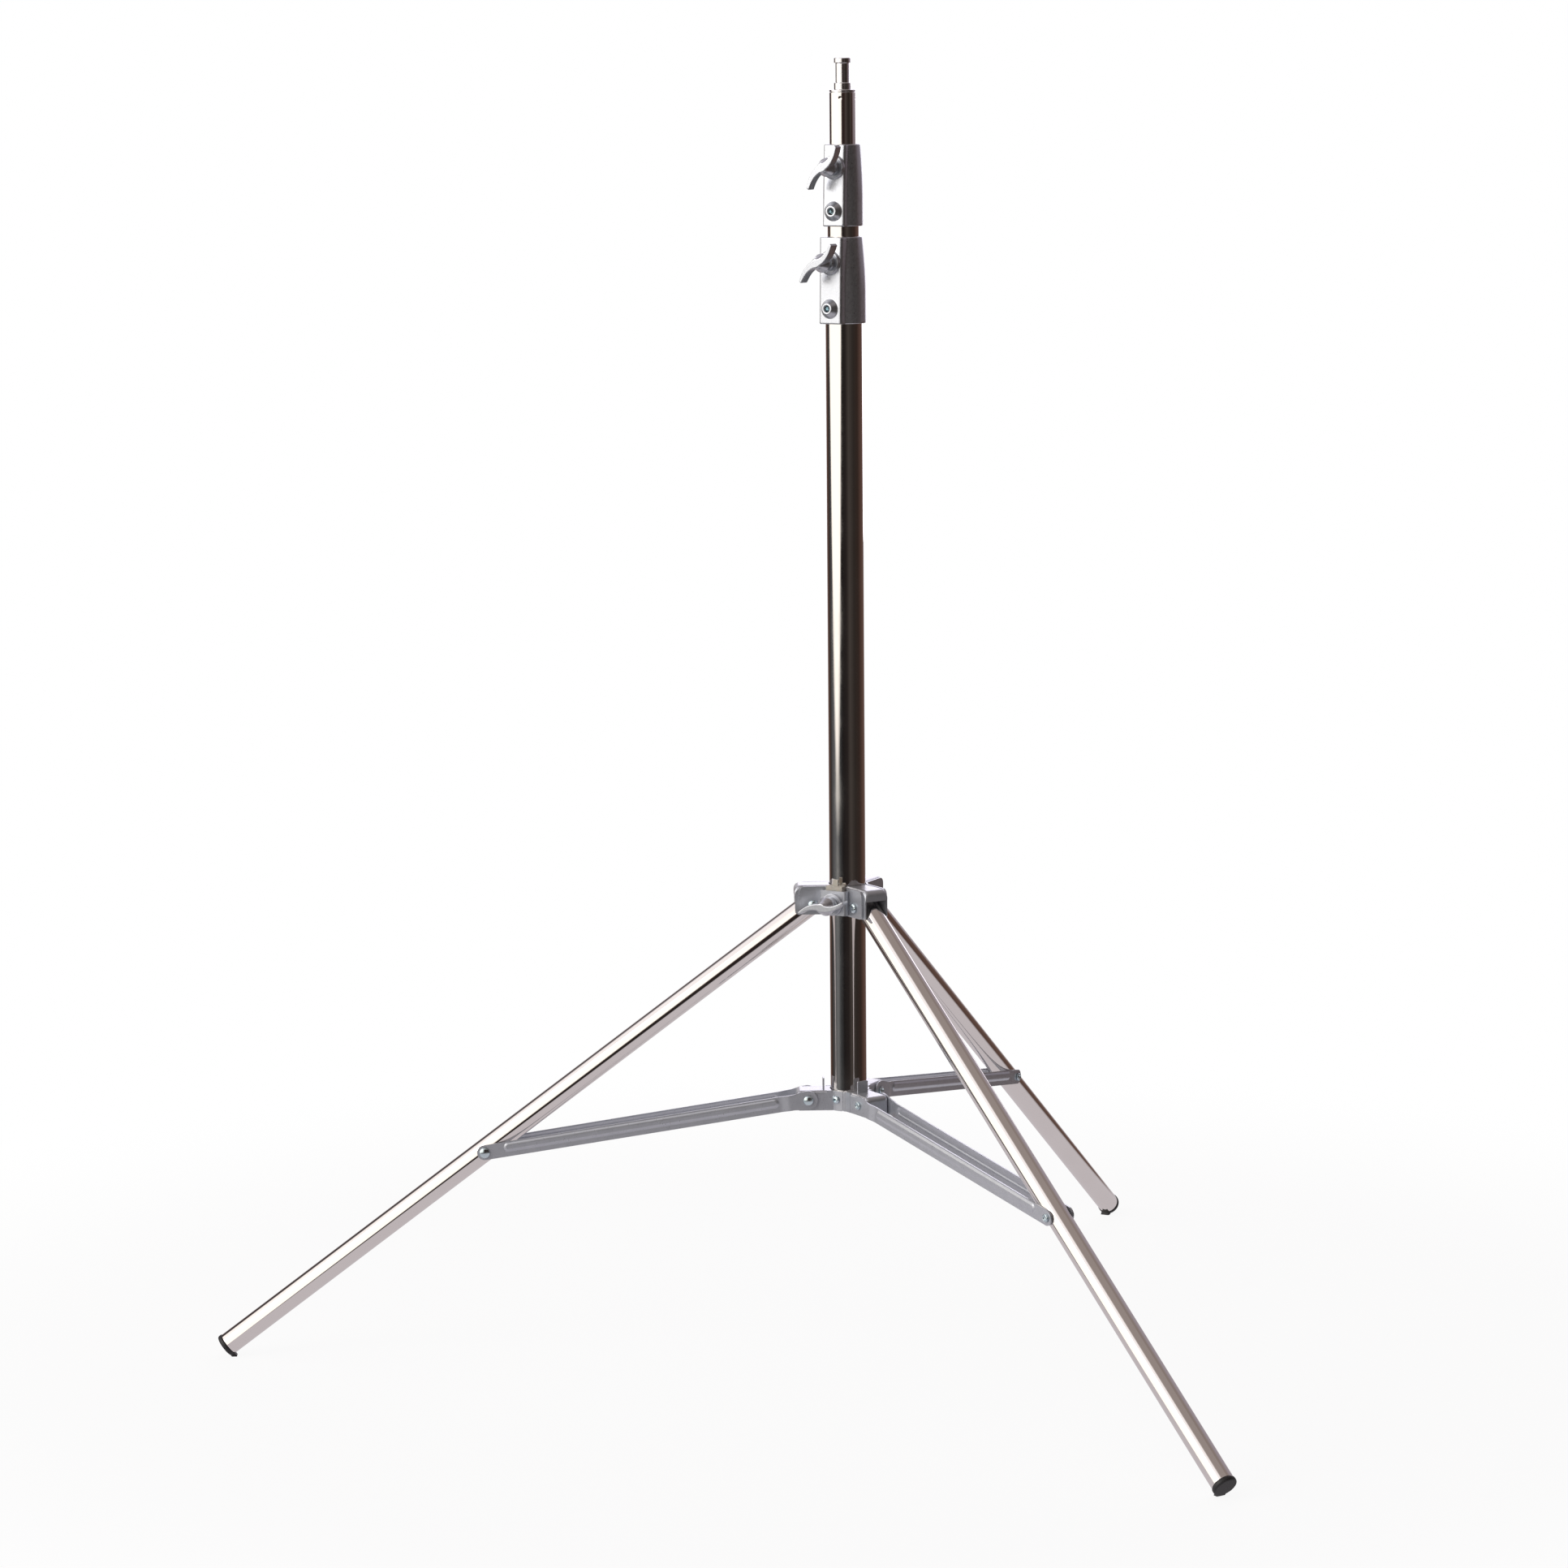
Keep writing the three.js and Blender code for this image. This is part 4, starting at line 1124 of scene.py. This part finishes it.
def bar_half(s, run):
    """Half the height of a brace bar at a distance from its inner pivot."""
    if s < 0:
        return math.sqrt(max(BAR_INNER_END**2 - s**2, 0))
    if s > run:
        return math.sqrt(max(BAR_OUTER_END**2 - (s - run) ** 2, 0))
    body = blend(BAR_BODY_HALF, BAR_OUTER_END, s / run)
    return blend(BAR_INNER_END, body, smooth((s - 2) / 14))


def bar_side(s, t, run):
    """How far the middle of the sheet is from the leg's plane: a step near the base and a long rib."""
    base = blend(BAR_BASE_INNER, BAR_BODY_INNER, smooth((s - BAR_STEP[0]) / (BAR_STEP[1] - BAR_STEP[0])))
    beyond = max(RIB_FROM_INNER - s, s - (run - RIB_FROM_OUTER), 0)
    distance = math.hypot(beyond, t - RIB_OFFSET) - RIB_HALF
    return base + BAR_SHEET / 2 + RIB_HEIGHT * smooth(0.5 - distance / RIB_FLANK)


def bar_stations(run):
    """Where a bar's mesh has its rows: dense at the ends, at the step and at the rib's ends."""
    rib_start = RIB_FROM_INNER - RIB_HALF - RIB_FLANK
    rib_end = run - rib_start + RIB_FROM_INNER - RIB_FROM_OUTER
    stations = [-BAR_INNER_END * math.cos(math.radians(5 * k)) for k in range(18)]
    stations += [blend(0, rib_start, k / 36) for k in range(36)]
    stations += [blend(rib_start, RIB_FROM_INNER + 1, k / 20) for k in range(20)]
    stations += [blend(RIB_FROM_INNER + 1, run - RIB_FROM_OUTER - 1, k / 30) for k in range(30)]
    stations += [blend(run - RIB_FROM_OUTER - 1, rib_end, k / 20) for k in range(20)]
    stations += [blend(rib_end, run, k / 20) for k in range(20)]
    stations += [run + BAR_OUTER_END * math.sin(math.radians(5 * k)) for k in range(18)]
    return stations


def bar_mesh(run, sign):
    rows = []
    columns = 40
    for s in bar_stations(run):
        half = max(bar_half(s, run), 0.05)
        heights = [half * math.sin(math.radians(-90 + 180 * step / columns)) for step in range(columns + 1)]
        rows.append([(s, sign * bar_side(s, t, run), t) for t in heights])
    middle = rings_mesh(rows, closed_rings=False, around=False)
    thick = shaped(middle, [("SOLIDIFY", {"thickness": BAR_SHEET, "offset": 0.0, "use_even_offset": True})])
    return bevelled(thick, BAR_EDGE, angle=62)


def brace(side):
    place = LEG_FRAME[side]
    x, z = pivot_of(f"brace_{side}_fold", place)
    rivet_low, rivet_high = local_box(f"brace_rivet_{side}_a", place)
    end_x = (rivet_low.x + rivet_high.x) / 2
    end_z = (rivet_low.z + rivet_high.z) / 2
    run = math.hypot(end_x - x, end_z - z)
    along = axis_frame(place, x, z, (end_x - x, end_z - z))
    seat = BAR_BODY_INNER + BAR_SHEET + CLEARANCE
    head = rivet_high.y - seat
    shank = [(0, BAR_BODY_INNER), (SHANK_RADIUS, BAR_BODY_INNER), (SHANK_RADIUS, seat)]
    turn = Matrix.Translation((end_x, 0, end_z)) @ TO_Y
    ends = (("a", 1, dome_profile(RIVET_RADIUS, head, seat)), ("b", -1, swaged_profile(head * 0.7, seat)))
    for letter, sign, end in ends:
        dress(f"brace_bar_{side}_{letter}", bar_mesh(run, sign), along)
        rivet = moved(lathe(shank + end, turn=turn), Matrix.Diagonal((1, sign, 1, 1)))
        dress(f"brace_rivet_{side}_{letter}", rivet, place)


# ---- the whole stand

plain_tube("outer_tube")
plain_tube("middle_tube")
dimpled_tube("top_tube")
guide("middle_guide", "middle_tube", "outer_tube")
guide("top_guide", "top_tube", "middle_tube")
spigot()
collar("outer")
collar("middle")

front_frame = local_frame(azimuth_of(JOINTS["leg_lever_turn"]["axis"]))
leg_lever_z = joint_place("leg_lever_turn").z / MM
clamp_plate("clamp_plate_rear_left", 150)
clamp_plate("clamp_plate_rear_right", 30)
half_plate("clamp_plate_front_left", "left")
half_plate("clamp_plate_front_right", "right")
bridge_front = clamp_bridge(front_frame, leg_lever_z)
leg_clamp_shoe(front_frame)
stud("leg_lever_stud", front_frame, leg_lever_z)
lever("leg_lever", front_frame, bridge_front, leg_lever_z, LEVER_ANGLE["leg"])

for side in SIDES:
    leg_cover(side)
    pivot_pin(f"leg_pivot_{side}", LEG_FRAME[side], *pivot_of(f"leg_{side}_fold", LEG_FRAME[side]), False)
    base_bracket(side)
    pivot_pin(f"brace_pivot_{side}", LEG_FRAME[side], *pivot_of(f"brace_{side}_fold", LEG_FRAME[side]), True)
    base_screw(side)
    leg(side)
    brace(side)

# ---- floor, light and camera


def studio_floor():
    """A pale round floor that a mirror sees only near the stand, as a sweep of paper between dark walls."""
    mesh = bpy.data.meshes.new("floor")
    points = [(*(COLUMN.xy + polar(FLOOR_RADIUS, 360 * k / 128)), 0) for k in range(128)]
    mesh.from_pydata(points, [], [tuple(range(128))])
    floor = bpy.data.objects.new("floor", mesh)
    bpy.context.scene.collection.objects.link(floor)
    material = bpy.data.materials.new("floor")
    tree = Tree(material)
    tree.nodes.remove(tree.nodes["Principled BSDF"])

    def fade(start, end, near, far):
        return tree.smooth_range(away.outputs["Value"], start, end, near, far)

    def glow(colour):
        return tree.add("Emission", {"Color": colour})

    def either(factor, first, second):
        return tree.add("MixShader", {0: factor, 1: first.outputs[0], 2: second.outputs[0]})

    place = tree.add("NewGeometry").outputs["Position"]
    away = tree.add("VectorMath", {0: place, 1: COLUMN}, operation="DISTANCE")
    pale = tree.add("BsdfDiffuse", {"Color": (0.9, 0.9, 0.91, 1)})
    shaded_share = fade(FLOOR_PALE_RADIUS * 0.5, FLOOR_PALE_RADIUS, FLOOR_SHADED_SHARE, 0)
    seen = either(shaded_share, glow((1, 1, 1, 1)), pale)
    mirrored = either(fade(*FLOOR_MIRRORED_FADE, 0, 1), glow(FLOOR_MIRRORED), tree.add("BsdfTransparent"))
    path = tree.add("LightPath")
    bounced = either(path.outputs["Is Glossy Ray"], glow(FLOOR_BOUNCE), mirrored)
    chosen = either(path.outputs["Is Camera Ray"], bounced, seen)
    tree.links.new(chosen.outputs[0], tree.nodes["Material Output"].inputs["Surface"])
    mesh.materials.append(material)


# What a mirror sees round the horizon: (degrees to the left of the camera, colour).
SURROUNDINGS = (
    (-180, (0.42, 0.37, 0.41)),
    (-112, (0.30, 0.26, 0.29)),
    (-100, (0.22, 0.17, 0.18)),
    (-92, (0.045, 0.022, 0.020)),
    (-70, (0.060, 0.050, 0.042)),
    (-60, (0.020, 0.014, 0.012)),
    (-38, (0.035, 0.026, 0.022)),
    (-30, (0.075, 0.060, 0.055)),
    (-14, (0.030, 0.016, 0.014)),
    (8, (0.035, 0.020, 0.018)),
    (13, (1.42, 1.35, 1.26)),
    (112, (1.42, 1.35, 1.26)),
    (120, (0.045, 0.028, 0.028)),
    (150, (0.060, 0.045, 0.045)),
    (166, (0.70, 0.66, 0.68)),
    (180, (0.42, 0.37, 0.41)),
)
# The same below the softbox's lower edge, down to the floor.
LOW_ROOM = (
    (-180, (0.55, 0.50, 0.53)),
    (-166, (0.50, 0.45, 0.47)),
    (-150, (0.14, 0.085, 0.070)),
    (-112, (0.085, 0.048, 0.038)),
    (-88, (0.035, 0.022, 0.018)),
    (-55, (0.030, 0.024, 0.021)),
    (-25, (0.060, 0.050, 0.045)),
    (-5, (0.022, 0.017, 0.016)),
    (25, (0.014, 0.012, 0.012)),
    (48, (0.050, 0.052, 0.055)),
    (66, (0.155, 0.160, 0.165)),
    (95, (0.10, 0.10, 0.105)),
    (120, (0.035, 0.028, 0.026)),
    (150, (0.14, 0.080, 0.062)),
    (180, (0.55, 0.50, 0.53)),
)
# The same overhead.
CEILING = (
    (-180, (0.55, 0.50, 0.54)),
    (-152, (0.30, 0.25, 0.24)),
    (-115, (0.27, 0.22, 0.205)),
    (-70, (0.17, 0.14, 0.13)),
    (-15, (0.42, 0.39, 0.39)),
    (25, (1.10, 1.05, 1.06)),
    (115, (1.10, 1.05, 1.08)),
    (150, (0.80, 0.76, 0.84)),
    (180, (0.55, 0.50, 0.54)),
)
ZENITH = (0.34, 0.29, 0.275)  # straight above
SOFTBOX_MIDDLE = 62.0  # degrees to the left of the camera
SOFTBOX_LOW = -9.5  # how far below the horizon its lower edge reaches in the middle
SOFTBOX_EDGE_LOW = -2.5
SOFTBOX_HALF = 50.0
SOFTBOX_SOFT_EDGE = 1.6
CEILING_FADE = (28, 50)  # degrees above the horizon
ZENITH_FADE = (57, 67)


def studio_world():
    """White to the camera. Mirrors see a big softbox on the left, a dark room and a pale ceiling."""
    world = bpy.data.worlds.new("studio")
    bpy.context.scene.world = world
    tree = Tree(world)

    def calculated(operation, *values):
        return tree.add("Math", dict(enumerate(values)), operation=operation).outputs[0]

    def round_colours(row):
        node = tree.add("ValToRGB", {0: heading})
        stops = node.color_ramp.elements
        for index, (degrees, colour) in enumerate(row):
            position = (degrees + 180) / 360
            stop = stops[index] if index < 2 else stops.new(position)
            stop.position = position
            stop.color = (*colour, 1)
        return node.outputs[0]

    def rising(value, start, end, below, above):
        """One colour below the start, the other above the end."""
        return tree.mix(tree.smooth_range(value, start, end), below, above)

    direction = tree.add("TexCoord").outputs["Generated"]
    inputs = {"Rotation": (0, 0, math.radians(-CAMERA_AZIMUTH)), "Vector": direction}
    turn = tree.add("Mapping", inputs, vector_type="POINT")
    x, y, z = tree.add("SeparateXYZ", {0: turn.outputs[0]}).outputs
    left = calculated("MULTIPLY", calculated("ARCTAN2", calculated("MULTIPLY", y, -1.0), x), 180 / math.pi)
    up = calculated("MULTIPLY", calculated("ARCSINE", z), 180 / math.pi)
    heading = calculated("DIVIDE", calculated("ADD", left, 180.0), 360.0)
    aside = calculated("DIVIDE", calculated("SUBTRACT", left, SOFTBOX_MIDDLE), SOFTBOX_HALF)
    bow = calculated("MINIMUM", calculated("MULTIPLY", aside, aside), 1.0)
    lower_edge = calculated("MULTIPLY_ADD", bow, SOFTBOX_EDGE_LOW - SOFTBOX_LOW, SOFTBOX_LOW)
    above_edge = calculated("SUBTRACT", up, lower_edge)
    room = rising(above_edge, 0.0, SOFTBOX_SOFT_EDGE, round_colours(LOW_ROOM), round_colours(SURROUNDINGS))
    sky = rising(up, *CEILING_FADE, room, round_colours(CEILING))
    whole = rising(up, *ZENITH_FADE, sky, (*ZENITH, 1))
    surround = tree.nodes["Background"]
    tree.links.new(whole, surround.inputs["Color"])
    white = tree.add("Background", {"Color": (1, 1, 1, 1)})
    camera_ray = tree.add("LightPath").outputs["Is Camera Ray"]
    chosen = tree.add("MixShader", {0: camera_ray, 1: surround.outputs[0], 2: white.outputs[0]})
    tree.links.new(chosen.outputs[0], tree.nodes["World Output"].inputs["Surface"])


def softbox(name, azimuth, distance, height, size, power, colour):
    """A square lamp that faces the middle of the stand."""
    lamp = bpy.data.lights.new(name, "AREA")
    lamp.size = size
    lamp.energy = power
    lamp.color = colour
    holder = bpy.data.objects.new(name, lamp)
    bpy.context.scene.collection.objects.link(holder)
    spot = COLUMN + Vector((*polar(distance, azimuth), height))
    aim = COLUMN + Vector((0, 0, LAMP_AIM_HEIGHT))
    holder.visible_camera = False
    facing = (spot - aim).to_track_quat("Z", "Y").to_matrix().to_4x4()
    holder.matrix_world = Matrix.Translation(spot) @ facing


def camera():
    data = bpy.data.cameras.new("camera")
    data.lens = CAMERA_LENS
    data.sensor_width = CAMERA_SENSOR
    data.clip_end = 50
    holder = bpy.data.objects.new("camera", data)
    bpy.context.scene.collection.objects.link(holder)
    heading = polar(math.cos(math.radians(CAMERA_PITCH)), CAMERA_HEADING)
    ahead = Vector((*heading, -math.sin(math.radians(CAMERA_PITCH))))
    right = Vector((ahead.y, -ahead.x, 0)).normalized()
    up = right.cross(ahead)
    roll = math.radians(CAMERA_ROLL)
    rolled_right = right * math.cos(roll) - up * math.sin(roll)
    rolled_up = up * math.cos(roll) + right * math.sin(roll)
    turn = Matrix((rolled_right, rolled_up, -ahead)).transposed().to_4x4()
    spot = COLUMN + Vector((*polar(CAMERA_DISTANCE, CAMERA_AZIMUTH), CAMERA_HEIGHT))
    holder.matrix_world = Matrix.Translation(spot) @ turn
    bpy.context.scene.camera = holder


studio_floor()
studio_world()
softbox("key", CAMERA_AZIMUTH - 62, 2.6, 1.7, 1.3, 12, (1.0, 0.98, 0.96))
softbox("back", CAMERA_AZIMUTH - 190, 2.6, 1.35, 1.8, 16, (0.94, 0.91, 1.0))
camera()
bpy.context.scene.view_settings.view_transform = "Standard"
